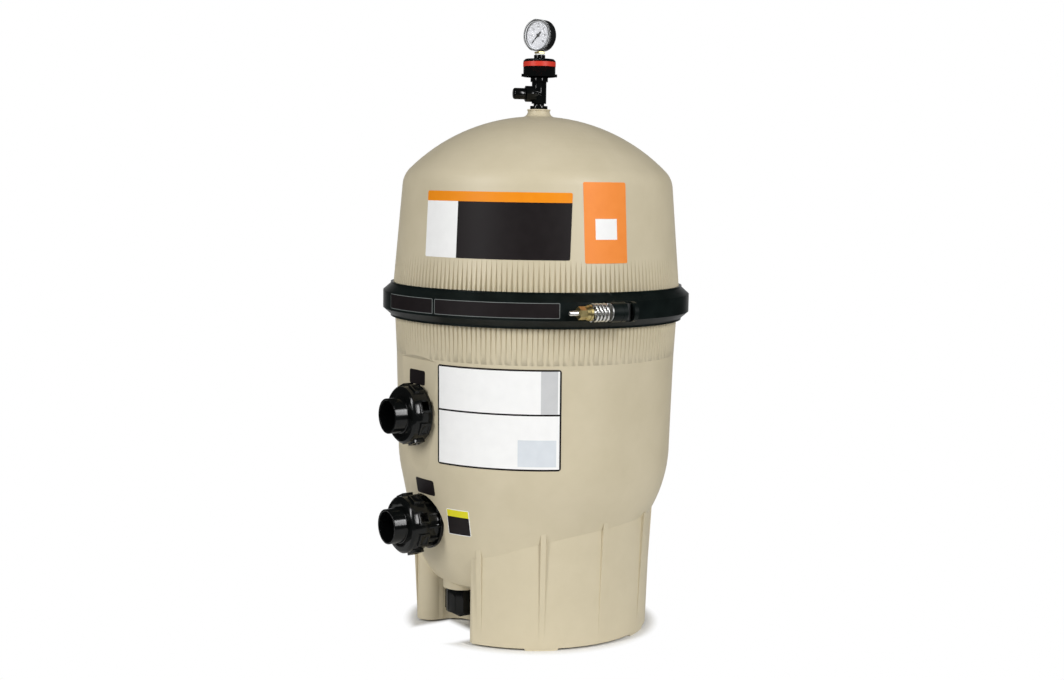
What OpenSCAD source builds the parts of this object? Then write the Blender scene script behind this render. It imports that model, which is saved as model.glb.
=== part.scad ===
// Free-standing pool filter: a two-part moulded tank held by a sprung V-band clamp, with four
// pleated cartridges between two manifolds, and an air relief valve and pressure gauge on the lid.
// Millimetres, +Z up. The origin is on the floor under the tank's axis, and the ports face -Y.

/* [Tank] */
// Outer radius of the tank at the top of its bowl
tank_r = 244; // [236:1:256]
// Thickness of the tank and lid walls
wall_t = 9; // [7:0.5:10]
// Height of the bowl's centre above the floor
bowl_z = 329; // [320:1:340]
// Height of the parting face between tank and lid
rim_z = 585; // [570:1:620]
// Outward slope of the tank wall in degrees
tank_draft = 1.5; // [0.8:0.1:2]
// Distance from the tank's axis forward to the sump's centre
sump_offset = 22; // [18:1:26]
// Height of the sump's centre above the floor
sump_mid = 214; // [208:1:220]
// How much less the outer radius of the sump is than that of the tank
sump_step = 42; // [38:1:46]
// Radius of the sump's flat underside
sump_flat_r = 148; // [142:1:152]
// Height of the sump's underside
sump_z = 86; // [84:1:92]

/* [Skirt] */
// Outer radius of the skirt at the floor
skirt_r = 208; // [200:1:212]
// Outward slope of the skirt in degrees
skirt_draft = 1.5; // [0.5:0.1:2]
// Thickness of the skirt
skirt_t = 7; // [5:0.5:9]
// Half width of the drain alcove
alcove_half = 62; // [58:1:66]
// Distance of the alcove's back from the tank's axis
alcove_back = 112; // [106:1:112]
// Radius of the alcove's back corners
alcove_r = 40; // [34:1:40]
// Radius of the rounded edges of the alcove's mouth
alcove_lip = 28; // [22:1:30]
// Number of rib places round the skirt, the one in the notch being empty
rib_places = 12; // [8:1:18]
// Width of a skirt rib
rib_w = 9; // [5:0.5:12]
// How far a rib stands out at its upper end
rib_proud = 5; // [3:0.5:8]
// Number of foot places, the one in the notch being empty
foot_places = 6; // [4:1:8]
// Width of a foot
foot_w = 53; // [40:1:70]
// Height of a foot
foot_h = 4; // [2:0.5:8]

/* [Flutes] */
// Number of flutes round the tank and round the lid
flute_count = 180; // [120:4:220]
// Length of the tank's flutes below the clamp
flute_tank_len = 62; // [40:1:80]
// Length of the lid's flutes above the clamp
flute_lid_len = 53; // [30:1:60]
// Depth of the tank's flutes at the clamp
flute_depth = 3.2; // [2:0.1:4]

/* [Lid] */
// Radius that the lid has over the tank at the clamp
lid_step = 3; // [1:0.5:5]
// Inward slope of the lid wall in degrees
lid_draft = 4.88; // [3:0.1:6]
// Outer radius of the dome
dome_r = 320; // [300:1:360]
// Outer radius of the shoulder between wall and dome
shoulder_r = 45; // [30:1:60]
// Height left between the cartridges and the dome's edge
dome_clear = 46; // [40:1:70]
// Outer radius of the neck
neck_r = 19.5; // [17:0.5:24]
// Height of the neck above the dome
neck_h = 12; // [11:0.5:18]
// Radius of the fillet below the neck
neck_fillet = 10; // [6:0.5:10]

/* [Clamp] */
// How far the flanges stand out from the lid wall
flange_w = 11.5; // [9:0.5:14]
// Radial gap between the flanges and the clamp
clamp_gap = 2; // [1:0.5:4]
// Thickness of the clamp band
clamp_t = 5; // [4:0.5:8]
// Height of the clamp band
clamp_h = 60; // [54:1:70]
// Height of each plain lip of the clamp
lip_h = 4; // [3:0.5:6]
// Thickness of the lips of the clamp
lip_t = 4.5; // [3:0.5:6]
// Slope of the clamp's inner faces in degrees
v_angle = 34; // [30:1:38]
// Angle from the ports round to the clamp's split
split_turn = 83; // [60:1:110]
// Width of the clamp's split
split_w = 4; // [2:0.5:8]
// Diameter of the clamp's bolt
bolt_d = 8; // [6:0.5:10]
// Length of the bolt past the spring
bolt_tail = 39; // [36:1:50]
// Outer diameter of the clamp's spring
spring_d = 31; // [26:0.5:36]
// Diameter of the spring wire
wire_d = 4; // [3:0.1:4.5]
// Length of the spring when the clamp is tight
spring_len = 34; // [32:1:44]
// Number of turns of the spring
spring_turns = 4.5; // [3:0.5:5]
// Width of the two lugs of the clamp along the bolt
lug_w = 15; // [12:1:20]

/* [Ports] */
// Height of the inlet
inlet_z = 395; // [390:1:402]
// Height of the outlet
outlet_z = 204; // [200:1:208]
// Half width of the flat panel round the inlet
panel_half = 46; // [42:1:50]
// Upper end of the flat panel
panel_top = 500; // [470:1:510]
// How far the outlet's seat lies behind the tank's radius
outlet_sunk = 26.5; // [24:0.5:29]
// How far the shoulder of both bulkheads lies in front of the tank's radius
shoulder_out = 3; // [2:0.5:8]
// Bore of the port fittings
port_bore = 54; // [46:1:56]
// Outer diameter of the bulkheads where they pass the wall
bulkhead_d = 76; // [70:1:80]
// Outer diameter of the union thread
union_d = 84; // [80:1:88]
// Length of the union thread
union_len = 23; // [18:1:28]
// Diameter of a union nut without its lugs
nut_d = 98; // [97:1:104]
// How far the lugs of a union nut stand out
nut_lug_h = 3.5; // [2.5:0.5:6]
// Length of a union nut
nut_len = 32; // [30:1:36]
// Number of lugs on a union nut
nut_lugs = 8; // [6:1:10]
// Outer diameter of a tailpiece, the size of a 2-inch pipe
tail_d = 60.3; // [58:0.1:62]
// Wall of a tailpiece
tail_t = 3.9; // [3:0.1:5]
// Length of a tailpiece in front of its nut
tail_out = 25; // [20:1:45]

/* [Drain] */
// Distance from the tank's axis forward to the drain
drain_y = 150; // [140:1:155]
// Bore of the drain boss
drain_bore = 48; // [40:1:50]
// Diameter of the drain fitting
drain_d = 58; // [54:1:64]
// Height of the drain fitting's lower end
drain_low = 37; // [33:1:45]
// Diameter of the drain plug's thread
plug_d = 36; // [30:1:38]
// Width across the flats of the drain plug's head
plug_af = 23; // [18:1:26]
// Height of the drain plug's square head
plug_h = 6; // [4:0.5:8]

/* [Cartridges] */
// How much less the diameter of a cartridge is than the radius of the tank
cart_less = 66; // [64:1:74]
// Length of a cartridge
cart_len = 498; // [440:1:640]
// Gap between two cartridges
cart_gap = 3; // [2:0.5:5]
// Bore of a cartridge
cart_bore = 76; // [70:1:82]
// Number of pleats in a cartridge
pleats = 72; // [48:4:96]
// Depth of a pleat
pleat_depth = 17; // [10:1:25]
// Thickness of a cartridge's end caps
cap_t = 12; // [8:1:16]

/* [Valve and gauge] */
// Diameter of the valve body
valve_d = 26; // [24:0.5:30]
// Diameter of the relief knob
knob_d = 57; // [50:1:64]
// Height of the relief knob
knob_h = 31; // [26:1:36]
// Diameter of the stem that the knob turns on
stem_d = 16; // [14:0.5:18]
// Angle from the ports round to the vent
vent_turn = -20; // [-60:1:60]
// Reach of the vent's cap from the valve's axis
vent_reach = 47; // [44:1:54]
// Diameter of the gauge case
gauge_d = 55; // [50:1:64]
// Depth of the gauge case
gauge_depth = 22; // [20:0.5:26]
// Angle from the ports round to the gauge's face
gauge_turn = 18; // [-90:1:90]

/* [Fits] */
// Clearance between pieces that only lie against each other
seat_gap = 0.3; // [0.2:0.05:0.4]
// Radial clearance of a running fit
run_gap = 0.05; // [0.02:0.01:0.1]
// Thickness of the flat gaskets
gasket_t = 2.2; // [1.5:0.1:3]

/* [Hidden] */
$fn = 96;
eps = 0.01;
big = 2 * (tank_r + clamp_h);
beige = "#cbbf9f";
black = "#17191a";
slate = "#1b2222";
white = "#f1f0ea";
steel = "#b9babb";
brass = "#b8964c";
rubber = "#202020";
blue = "#3d6f9c";
grey = "#8d8f8c";

// Radii and heights of the tank wall, the lid wall and the clamped flanges
flute_tank_top = rim_z - clamp_h / 2;
flute_tank_low = flute_tank_top - flute_tank_len;
flute_lid_low = rim_z + clamp_h / 2;
flute_lid_top = flute_lid_low + flute_lid_len;
tank_floor_r = tank_wall_r(flute_tank_low);
foot_inset = 0.5;
alcove_slant = 2;
sump_chamfer = 30;
sump_r = tank_r - sump_step;
sump_tilt = atan2(sump_offset, bowl_z - sump_mid);
sump_drop = norm([sump_offset, bowl_z - sump_mid]);
bowl_lean = asin((tank_r - sump_r) / sump_drop);
tank_crest_r = tank_floor_r + flute_depth;
lid_r = tank_crest_r + lid_step;
lid_floor_r = lid_wall_r(flute_lid_top);
lip_r = lid_r + 2 * seat_gap;
flange_r = lid_r + flange_w;
clamp_in_r = flange_r + clamp_gap;
clamp_r = clamp_in_r + clamp_t;
lip_z = clamp_h / 2 - lip_h;
function tank_wall_r(z) = tank_r + (z - bowl_z) * tan(tank_draft);
function lid_wall_r(z) = lid_r - (z - flute_lid_low) * tan(lid_draft);
function clamp_slope_z(r) = lip_z - (r - lip_r) * tan(v_angle);
function flange_z(r) = clamp_slope_z(r) - 2 * seat_gap;
function sphere_depth(r, x) = sqrt(r * r - x * x);
function arc(centre, r, from, to, steps) =
    [for (i = [0:steps]) let (a = from + (to - from) * i / steps) centre + r * [cos(a), sin(a)]];

// Seal between tank and lid
rim_seal_d = 9.6;
rim_seal_r = (tank_crest_r - wall_t + flange_r) / 2;
rim_groove_w = rim_seal_d + 2 * seat_gap;

// Cartridges: the bowl sets how low they stand, and they set how high the dome is
cart_d = tank_r - cart_less;
cart_at = (cart_d + cart_gap) / 2;
cart_reach = cart_at * sqrt(2) + cart_d / 2;
cart_wall_gap = 4;
cart_floor_gap = 15;
cart_low = bowl_z + cart_floor_gap - sphere_depth(tank_r - wall_t, cart_reach + cart_wall_gap);
cart_top = cart_low + cart_len;
core_t = 4;
core_slot = 12;
cap_lip = 3;
dome_z = cart_top + dome_clear - sphere_depth(dome_r - wall_t, cart_reach + cart_wall_gap);
dome_top = dome_z + dome_r;
neck_top = dome_top + neck_h;
neck_lip = 1.2;

// Manifolds and the pipes between them
manifold_t = 22;
manifold_wall = 4;
spigot_len = 14;
spigot_gap = 0.5;
spigot_r = cart_bore / 2 - spigot_gap;
hub_r = port_bore / 2 + 14;
pipe_r = port_bore / 2 - seat_gap;
pipe_t = 4;
arm_w = 44;
plate_r = cart_bore / 2 + 8;
bleed_d = 20;
bleed_rise = 30;
strainer_d = 30;
strainer_h = 40;
strainer_slot = 3;
hub_low = sump_z + wall_t + seat_gap;

// Ports, from the wall outwards
panel_y = sphere_depth(tank_wall_r(inlet_z), panel_half);
inlet_inner = panel_y - wall_t - 1;
outlet_seat = tank_r - outlet_sunk;
shoulder_y = tank_r + shoulder_out;
outlet_pad_t = 12;
outlet_inner = outlet_seat - outlet_pad_t;
gasket_r = bulkhead_d / 2 + 7;
spotface_r = gasket_r + 5;
outlet_pad_r = spotface_r + 6;
union_face = shoulder_y + union_len;
nut_chamfer = 4;
lug_sink = 1.5;
tail_flange_t = 5.5;
tail_collar = 1.5;
tail_flange_r = union_d / 2 - 1;
nut_back = shoulder_y + 2 * seat_gap;
nut_front = nut_back + nut_len;
tail_end = nut_front + tail_out;
grip_rib = 4;
grip_ribs = 12;
locknut_t = 14;
locknut_r = bulkhead_d / 2 + 13;
diffuser_len = 30;
bulkhead_in = 6;
union_seal_d = 4;
union_groove = union_seal_d + 2 * seat_gap;
union_seal_r = (union_d + port_bore) / 4;

// Drain, from the sump downwards
drain_boss_h = 6;
drain_boss_r = drain_bore / 2 + 10;
drain_face = sump_z - drain_boss_h;
drain_reach = drain_y - sump_offset + drain_boss_r;
drain_boss_top = wall_t + max(sump_mid - sphere_depth(sump_r, drain_reach),
    sump_z + max(drain_reach - sump_flat_r, 0) * tan(sump_chamfer));
drain_neck = 22;
plug_in = 22;
plug_rim = 3;
drain_seal_d = 3;

// Clamp bolt: the distance along it is counted from the split, and falls towards the nut
bolt_y = clamp_r + spring_d / 2;
lug_a = -split_w / 2 - lug_w;
washer_t = 2;
spring_end = lug_a - washer_t - seat_gap;
spring_start = spring_end - spring_len;
nut_washer_t = 4;
nut_washer_end = spring_start - seat_gap;
clamp_nut_end = nut_washer_end - nut_washer_t - seat_gap;
clamp_nut_len = 18;
clamp_nut_af = 19;
bolt_tip = spring_start - bolt_tail;
bar_d = 12;
lug_b = split_w / 2 + lug_w + bar_d;
bar_h = 28;
bar_s = split_w / 2 + lug_w / 2 + bar_d / 2;
lug_h = spring_d + 2;

// Valve and gauge, from the neck upwards
valve_flange_d = 31;
valve_flange_t = 6;
valve_throat_d = 19;
valve_throat_h = 4;
valve_thread_d = 18;
valve_thread_len = 20;
valve_bore = 8;
vent_bore = 7;
valve_collar_d = 31;
valve_body_z = neck_top + valve_flange_t + valve_throat_h;
vent_z = valve_body_z + 17;
valve_collar_z = valve_body_z + 38;
knob_z = valve_collar_z + 9;
stem_top = knob_z + knob_h + 4;
bushing_d = 20;
bushing_z = knob_z + knob_h + seat_gap;
bushing_h = 7;
tape_h = 2.5;
hex_h = 3;
hex_af = 17;
bezel_t = 0.8;
gauge_foot = bushing_z + bushing_h + tape_h + hex_h;
gauge_z = gauge_foot + gauge_d / 2 + bezel_t + seat_gap;
gauge_pipe_d = 10;
knob_t = 3;
knob_boss_d = stem_d + 12;
ear_w = 5;
knob_turn = 60;
ear_out = 3;
valve_seal_d = 2.6;
valve_seal_r = valve_flange_d / 2 - 3.5;
vent_collar_d = 28;
vent_collar_end = 25;
vent_spigot_d = 16.6;
vent_spigot_end = 38;
vent_cap_d = 20;
vent_gasket_t = 1.5;
vent_chamfer = 2;
case_t = 2;
dial_t = 1;
lens_t = 2;
spindle_d = 6;
dial_y = spindle_d / 2 + seat_gap;
lens_y = gauge_depth / 2 - 2 * lens_t;
needle_t = 0.8;
needle_y = dial_y + dial_t + 2 * seat_gap;
needle_len = 19;
needle_w = 3;
needle_tail = 8;
needle_rest = 225;
arbor_d = 2;
bezel_h = 5.5;
bezel_lip = 1.5;
bourdon_d = 4;
bourdon_r = gauge_d / 2 - case_t - 2 * bourdon_d;
bourdon_y = dial_y - bourdon_d;
bourdon_from = -60;

seats = [for (x = [-1, 1], y = [-1, 1]) [x * cart_at, y * cart_at]];

// Shapes that repeat
module ring(r_out, r_in, h) {
    difference() {
        cylinder(r = r_out, h = h);
        translate([0, 0, -1]) cylinder(r = r_in, h = h + 2);
    }
}

module torus(r, d) {
    rotate_extrude() translate([r, 0]) circle(d = d);
}

// Places a piece drawn along +Z so that it points out of the ports, from the distance y
module along_port(y, z) {
    translate([0, -y, z]) rotate([90, 0, 0]) children();
}

// Places a piece drawn along +Z on the clamp bolt's axis, pointing away from the nut
module along_bolt(s) {
    rotate(split_turn) translate([s, -bolt_y, rim_z]) rotate([0, 90, 0]) children();
}

module along_vent(reach) {
    rotate(vent_turn) translate([0, -reach, vent_z]) rotate([90, 0, 0]) children();
}

// Places a piece drawn along +Z so that it points out of the gauge's face
module along_gauge(depth) {
    rotate(gauge_turn) translate([0, -depth, gauge_z]) rotate([90, 0, 0]) children();
}

// Everything outside the flutes, which are deep at the clamp and run out into the drafted wall
module flute_cutter(floor_r, low, high) {
    peak_r = floor_r + 2 * flute_depth;
    step = 360 / flute_count;
    translate([0, 0, low]) linear_extrude(high - low) difference() {
        circle(r = floor_r + 4 * flute_depth);
        polygon([for (i = [0:flute_count - 1], half = [0, 1])
            let (r = half == 0 ? floor_r : peak_r, a = (i + half / 2) * step) r * [cos(a), sin(a)]]);
    }
}

// The bowl: half a sphere, and a cone that leans forward from it to the smaller sphere of the sump
module bowl_form(inset) {
    big_r = tank_r - inset;
    small_r = sump_r - inset;
    cone_top = -big_r * sin(bowl_lean);
    cone_low = -sump_drop - small_r * sin(bowl_lean);
    intersection() {
        translate([0, 0, bowl_z]) sphere(r = big_r);
        cylinder(r = tank_r, h = bowl_z);
    }
    translate([0, 0, bowl_z]) rotate([-sump_tilt, 0, 0]) {
        translate([0, 0, -sump_drop]) sphere(r = small_r);
        translate([0, 0, cone_low]) cylinder(r1 = small_r * cos(bowl_lean) - 10 * eps,
            r2 = big_r * cos(bowl_lean) - 10 * eps, h = cone_top - cone_low);
    }
}

// Tank: the bowl with its flat underside, wall, clamped flange and skirt in one moulding
module tank_skin(inset) {
    flat_r = sump_flat_r - inset / 4;
    intersection() {
        bowl_form(inset);
        translate([0, -sump_offset, sump_z + inset]) rotate_extrude()
            polygon([[0, 0], [flat_r, 0], [flat_r + bowl_z / tan(sump_chamfer), bowl_z], [0, bowl_z]]);
    }
}

module tank_wall() {
    rotate_extrude() polygon([
        [0, bowl_z], [tank_r, bowl_z], [tank_floor_r, flute_tank_low], [tank_crest_r, flute_tank_top],
        [tank_crest_r, rim_z - flange_z(tank_crest_r)], [flange_r, rim_z - flange_z(flange_r)],
        [flange_r, rim_z], [0, rim_z]
    ]);
}

module tank_cavity() {
    tank_skin(wall_t);
    rotate_extrude() polygon([
        [0, bowl_z - eps], [tank_r - wall_t, bowl_z - eps], [tank_floor_r - wall_t, flute_tank_low],
        [tank_crest_r - wall_t, flute_tank_top], [tank_crest_r - wall_t, rim_z + 1], [0, rim_z + 1]
    ]);
}

module skirt() {
    top = bowl_z - sphere_depth(tank_r, skirt_r + rib_proud) + 2 * foot_h;
    spread = (top - foot_h) * tan(skirt_draft);
    difference() {
        union() {
            rotate_extrude() polygon([
                [skirt_r - skirt_t, foot_h], [skirt_r, foot_h],
                [skirt_r + spread, top], [skirt_r + spread - skirt_t, top]
            ]);
            intersection() {
                translate([0, 0, foot_h]) linear_extrude(top - foot_h) alcove_plan(skirt_t);
                cylinder(r = skirt_r - skirt_t / 2, h = top);
            }
        }
        linear_extrude(top + 1) alcove_plan(0);
    }
    for (i = [1:rib_places - 1]) rotate(i * 360 / rib_places) skirt_rib(top, spread);
    for (i = [1:foot_places - 1]) rotate(i * 360 / foot_places) foot();
}

// The plan of the drain alcove, widened by grow: rounded at the back and round the edges of its mouth
module alcove_plan(grow) {
    half = alcove_half + grow;
    back_half = alcove_half - alcove_r;
    knee = -alcove_back - alcove_r;
    lip_x = alcove_half + alcove_slant + alcove_lip;
    lip_y = alcove_lip - sphere_depth(skirt_r, lip_x);
    difference() {
        union() {
            for (side = [-1, 1]) translate([side * back_half, knee]) circle(r = alcove_r + grow);
            translate([-back_half, knee]) square([2 * back_half, alcove_r + grow]);
            polygon([
                [-half, knee], [half, knee], [half + alcove_slant, lip_y], [lip_x, lip_y],
                [lip_x, -2 * skirt_r], [-lip_x, -2 * skirt_r],
                [-lip_x, lip_y], [-half - alcove_slant, lip_y]
            ]);
        }
        for (side = [-1, 1]) translate([side * lip_x, lip_y]) circle(r = alcove_lip - grow);
    }
}

// A rib that is flush near the floor and stands out under the bowl
module skirt_rib(top, spread) {
    translate([rib_w / 2, 0, 0]) rotate([90, 0, -90]) linear_extrude(rib_w) polygon([
        [skirt_r - skirt_t / 2, 3 * foot_h], [skirt_r, 3 * foot_h],
        [skirt_r + spread + rib_proud, top], [skirt_r - skirt_t / 2 + spread, top]
    ]);
}

module foot() {
    intersection() {
        rotate_extrude() translate([skirt_r - skirt_t + foot_inset, 0])
            square([skirt_t - 2 * foot_inset, foot_h + 1]);
        translate([0, -skirt_r / 2, 0]) rotate([90, 0, 0]) linear_extrude(skirt_r) polygon([
            [-foot_w / 2, 0], [foot_w / 2, 0],
            [foot_w / 2 + foot_h, foot_h + 1], [-foot_w / 2 - foot_h, foot_h + 1]
        ]);
    }
}

// The flat panel's cut, whose upper end slopes out to the wall
module panel_cut() {
    rise = tank_crest_r - panel_y + 1;
    translate([-tank_r, 0, 0]) rotate([90, 0, 90]) linear_extrude(2 * tank_r) polygon([
        [-panel_y, bowl_z - panel_half], [-panel_y, panel_top - rise], [-panel_y - rise, panel_top],
        [-panel_y - rise, bowl_z - panel_half]
    ]);
}

module tank_shell() color(beige) difference() {
    union() {
        tank_skin(0);
        tank_wall();
        skirt();
        translate([0, -drain_y, drain_face]) cylinder(r = drain_boss_r, h = drain_boss_top - drain_face);
    }
    difference() {
        tank_cavity();
        translate([-tank_r, -tank_r, inlet_z - spotface_r])
            cube([2 * tank_r, tank_r - inlet_inner, 2 * spotface_r]);
        along_port(outlet_inner, outlet_z) cylinder(r = outlet_pad_r, h = tank_r);
    }
    panel_cut();
    flute_cutter(tank_floor_r, flute_tank_low - 1, flute_tank_top + lip_h);
    along_port(outlet_seat, outlet_z) cylinder(r = spotface_r, h = tank_r);
    along_port(outlet_inner - tank_r / 8, outlet_z) cylinder(r = bulkhead_d / 2 + seat_gap, h = tank_r / 4);
    along_port(inlet_inner - tank_r / 8, inlet_z) cylinder(r = bulkhead_d / 2 + seat_gap, h = tank_r / 4);
    translate([0, -drain_y, drain_face - 1]) cylinder(d = drain_bore, h = drain_boss_top - drain_face);
    translate([0, 0, rim_z - rim_groove_w])
        ring(rim_seal_r + rim_groove_w / 2, rim_seal_r - rim_groove_w / 2, 2 * rim_groove_w);
}

module tank_seal() color(rubber)
    translate([0, 0, rim_z - rim_groove_w / 2]) torus(rim_seal_r, rim_seal_d);

// Ports
module bulkhead(wall_in) {
    length = shoulder_y - wall_in + locknut_t + bulkhead_in;
    difference() {
        union() {
            along_port(shoulder_y - length, 0) cylinder(d = bulkhead_d, h = length);
            along_port(shoulder_y - 1, 0) cylinder(d = union_d, h = union_len + 1);
            children();
        }
        along_port(shoulder_y - length - 1, 0) cylinder(d = port_bore, h = length + union_len + 2);
        along_port(union_face - union_seal_d - seat_gap, 0)
            ring(union_seal_r + union_groove / 2, union_seal_r - union_groove / 2, union_len);
    }
}

module gasket(seat) {
    along_port(seat, 0) ring(gasket_r, bulkhead_d / 2 + seat_gap, gasket_t);
}

module locknut(inner) {
    difference() {
        along_port(inner - locknut_t - seat_gap, 0) rotate(22.5)
            cylinder(r = locknut_r, h = locknut_t, $fn = 8);
        along_port(inner - 2 * locknut_t, 0) cylinder(r = bulkhead_d / 2 + run_gap, h = 3 * locknut_t);
    }
}

module union_seal() {
    along_port(union_face - union_seal_d / 2, 0) torus(union_seal_r, union_seal_d);
}

module tailpiece() {
    difference() {
        union() {
            along_port(union_face + seat_gap, 0) cylinder(r = tail_flange_r, h = tail_flange_t);
            along_port(union_face + seat_gap, 0)
                cylinder(r = tail_d / 2 + tail_collar, h = nut_front + tail_collar - union_face - seat_gap);
            along_port(union_face + seat_gap, 0)
                cylinder(d = tail_d, h = tail_end - union_face - seat_gap);
        }
        along_port(union_face - 1, 0) cylinder(d = tail_d - 2 * tail_t, h = tail_end);
    }
}

// A nut whose front lip draws the tailpiece's flange on to the bulkhead
module union_nut() {
    grip_len = nut_len - nut_chamfer - 1;
    grip_w = nut_d * PI / nut_lugs * 0.6;
    lip = union_face + tail_flange_t + 2 * seat_gap;
    difference() {
        union() {
            along_port(nut_back, 0) cylinder(d = nut_d, h = nut_len - nut_chamfer);
            along_port(nut_front - nut_chamfer, 0)
                cylinder(d1 = nut_d, d2 = nut_d - 2 * nut_chamfer, h = nut_chamfer);
            for (i = [0:nut_lugs - 1]) along_port(nut_back, 0) rotate((i + 0.5) * 360 / nut_lugs)
                translate([0, -grip_w / 2, 0]) cube([nut_d / 2 + nut_lug_h, grip_w, grip_len]);
        }
        along_port(nut_back - 1, 0) cylinder(d = union_d + 2 * seat_gap, h = lip - nut_back + 1);
        along_port(nut_back - 1, 0) cylinder(r = tail_d / 2 + tail_collar + seat_gap, h = nut_len + 2);
        for (i = [0:nut_lugs - 1]) along_port(nut_back + nut_chamfer, 0) rotate((i + 0.5) * 360 / nut_lugs)
            translate([nut_d / 2 + nut_lug_h - lug_sink, -grip_w / 2 + nut_chamfer, 0])
                cube([2 * lug_sink, grip_w - 2 * nut_chamfer, grip_len - 2 * nut_chamfer]);
    }
}

module inlet_bulkhead() color(black) translate([0, 0, inlet_z]) bulkhead(inlet_inner)
    along_port(panel_y + gasket_t, 0) cylinder(d = nut_d - 2, h = shoulder_y - panel_y - gasket_t);

// The outlet's longer collar has a flange on the seat and ribs for a strap wrench
module outlet_bulkhead() color(black) translate([0, 0, outlet_z]) bulkhead(outlet_inner) {
    seat = outlet_seat + gasket_t;
    rib_len = shoulder_y - seat;
    collar_r = bulkhead_d / 2 + 2;
    along_port(seat, 0) cylinder(r = collar_r + 1.5 * grip_rib, h = grip_rib);
    along_port(seat, 0) cylinder(r = collar_r, h = rib_len);
    along_port(shoulder_y - grip_rib, 0) cylinder(r = collar_r + grip_rib, h = grip_rib);
    for (i = [0:grip_ribs - 1]) along_port(seat, 0) rotate(i * 360 / grip_ribs)
        translate([0, -grip_rib / 2, 0]) cube([collar_r + grip_rib, grip_rib, rib_len]);
}

module inlet_gasket() color(rubber) translate([0, 0, inlet_z]) gasket(panel_y);
module outlet_gasket() color(rubber) translate([0, 0, outlet_z]) gasket(outlet_seat);
module inlet_locknut() color(black) translate([0, 0, inlet_z]) locknut(inlet_inner);
module outlet_locknut() color(black) translate([0, 0, outlet_z]) locknut(outlet_inner);
module inlet_union_seal() color(rubber) translate([0, 0, inlet_z]) union_seal();
module outlet_union_seal() color(rubber) translate([0, 0, outlet_z]) union_seal();
module inlet_tailpiece() color(black) translate([0, 0, inlet_z]) tailpiece();
module outlet_tailpiece() color(black) translate([0, 0, outlet_z]) tailpiece();
module inlet_union_nut() color(black) translate([0, 0, inlet_z]) union_nut();
module outlet_union_nut() color(black) translate([0, 0, outlet_z]) union_nut();

// A cup behind the inlet that turns the water along the wall through its side windows
module inlet_diffuser() color(grey) {
    front = inlet_inner - locknut_t - bulkhead_in - seat_gap;
    back = front - diffuser_len;
    r = bulkhead_d / 2 - 1;
    difference() {
        along_port(back, inlet_z) cylinder(r = r, h = diffuser_len);
        along_port(back + manifold_wall, inlet_z) cylinder(d = port_bore, h = diffuser_len);
        for (i = [0:3]) along_port(back + manifold_wall, inlet_z) rotate(45 + 90 * i)
            translate([0, -diffuser_len / 2, 0]) cube([2 * r, diffuser_len, 2 * diffuser_len / 3]);
    }
}

module outlet_pipe() color(grey) {
    start = outlet_inner - bulkhead_in;
    stop = hub_r - manifold_wall;
    along_port(stop, outlet_z) ring(pipe_r, pipe_r - pipe_t, start - stop);
}

// Drain
module drain_fitting() color(black) translate([0, -drain_y, 0]) difference() {
    union() {
        translate([0, 0, drain_low]) cylinder(d = drain_d, h = drain_face - gasket_t - drain_low);
        translate([0, 0, drain_low])
            cylinder(d = drain_bore - 2 * seat_gap, h = drain_face + drain_neck - drain_low);
        for (i = [0:grip_ribs - 1]) rotate(i * 360 / grip_ribs)
            translate([drain_d / 2 - 1, -grip_rib / 2, drain_low + grip_rib])
                cube([grip_rib / 2, grip_rib, drain_face - gasket_t - drain_low - 2 * grip_rib]);
    }
    translate([0, 0, drain_low - 1]) cylinder(r = plug_d / 2 + run_gap, h = 2 * drain_face);
    translate([0, 0, drain_low - eps]) cylinder(d = plug_d + 3 * drain_seal_d, h = drain_seal_d);
}

module drain_gasket() color(rubber) translate([0, -drain_y, drain_face - gasket_t])
    ring(drain_d / 2 - 1, drain_bore / 2, gasket_t);

module drain_seal() color(rubber) translate([0, -drain_y, drain_low + drain_seal_d / 2 - seat_gap])
    torus(plug_d / 2 + drain_seal_d / 2 + 3 * run_gap, drain_seal_d - seat_gap);

module drain_plug() color(black) translate([0, -drain_y, 0]) {
    head = drain_low - seat_gap - plug_rim;
    translate([0, 0, head]) cylinder(d = plug_d + 3 * drain_seal_d, h = plug_rim);
    translate([0, 0, head]) cylinder(d = plug_d, h = plug_in + plug_rim);
    translate([-plug_af / 2, -plug_af / 2, head - plug_h]) cube([plug_af, plug_af, plug_h + 1]);
}

// Cartridges
module cartridge_media(i) color(white) translate([seats[i].x, seats[i].y, cart_low + cap_t - cap_lip]) {
    r = cart_d / 2 - cap_lip;
    linear_extrude(cart_len - 2 * (cap_t - cap_lip)) difference() {
        polygon([for (k = [0:2 * pleats - 1])
            let (a = k * 180 / pleats) (k % 2 == 0 ? r : r - pleat_depth) * [cos(a), sin(a)]]);
        circle(r = cart_bore / 2 + core_t + seat_gap);
    }
}

// Two moulded caps with a rim round the pleats
module cartridge_caps(i) color(blue) translate([seats[i].x, seats[i].y, 0]) {
    for (top = [0, 1]) translate([0, 0, top * (cart_low + cart_top)]) mirror([0, 0, top])
        difference() {
            translate([0, 0, cart_low]) ring(cart_d / 2, cart_bore / 2, cap_t);
            translate([0, 0, cart_low + cap_t - cap_lip - seat_gap])
                ring(cart_d / 2 - cap_lip + seat_gap, cart_bore / 2 - 1, cap_t);
        }
}

// A core tube with rows of slots
module cartridge_core(i) color(white) translate([seats[i].x, seats[i].y, cart_low + cap_t - cap_lip]) {
    h = cart_len - 2 * (cap_t - cap_lip);
    rows = 6;
    difference() {
        ring(cart_bore / 2 + core_t, cart_bore / 2, h);
        for (row = [0:rows - 1], turn = [0:3]) rotate(turn * 90 + row * 45)
            translate([0, -core_slot / 2, (row + 0.2) * h / rows])
                cube([cart_bore, core_slot, 0.6 * h / rows]);
    }
}

module manifold_spigots(z, len) {
    for (s = seats) translate([s.x, s.y, z]) ring(spigot_r, spigot_r - manifold_wall, len);
}

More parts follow.
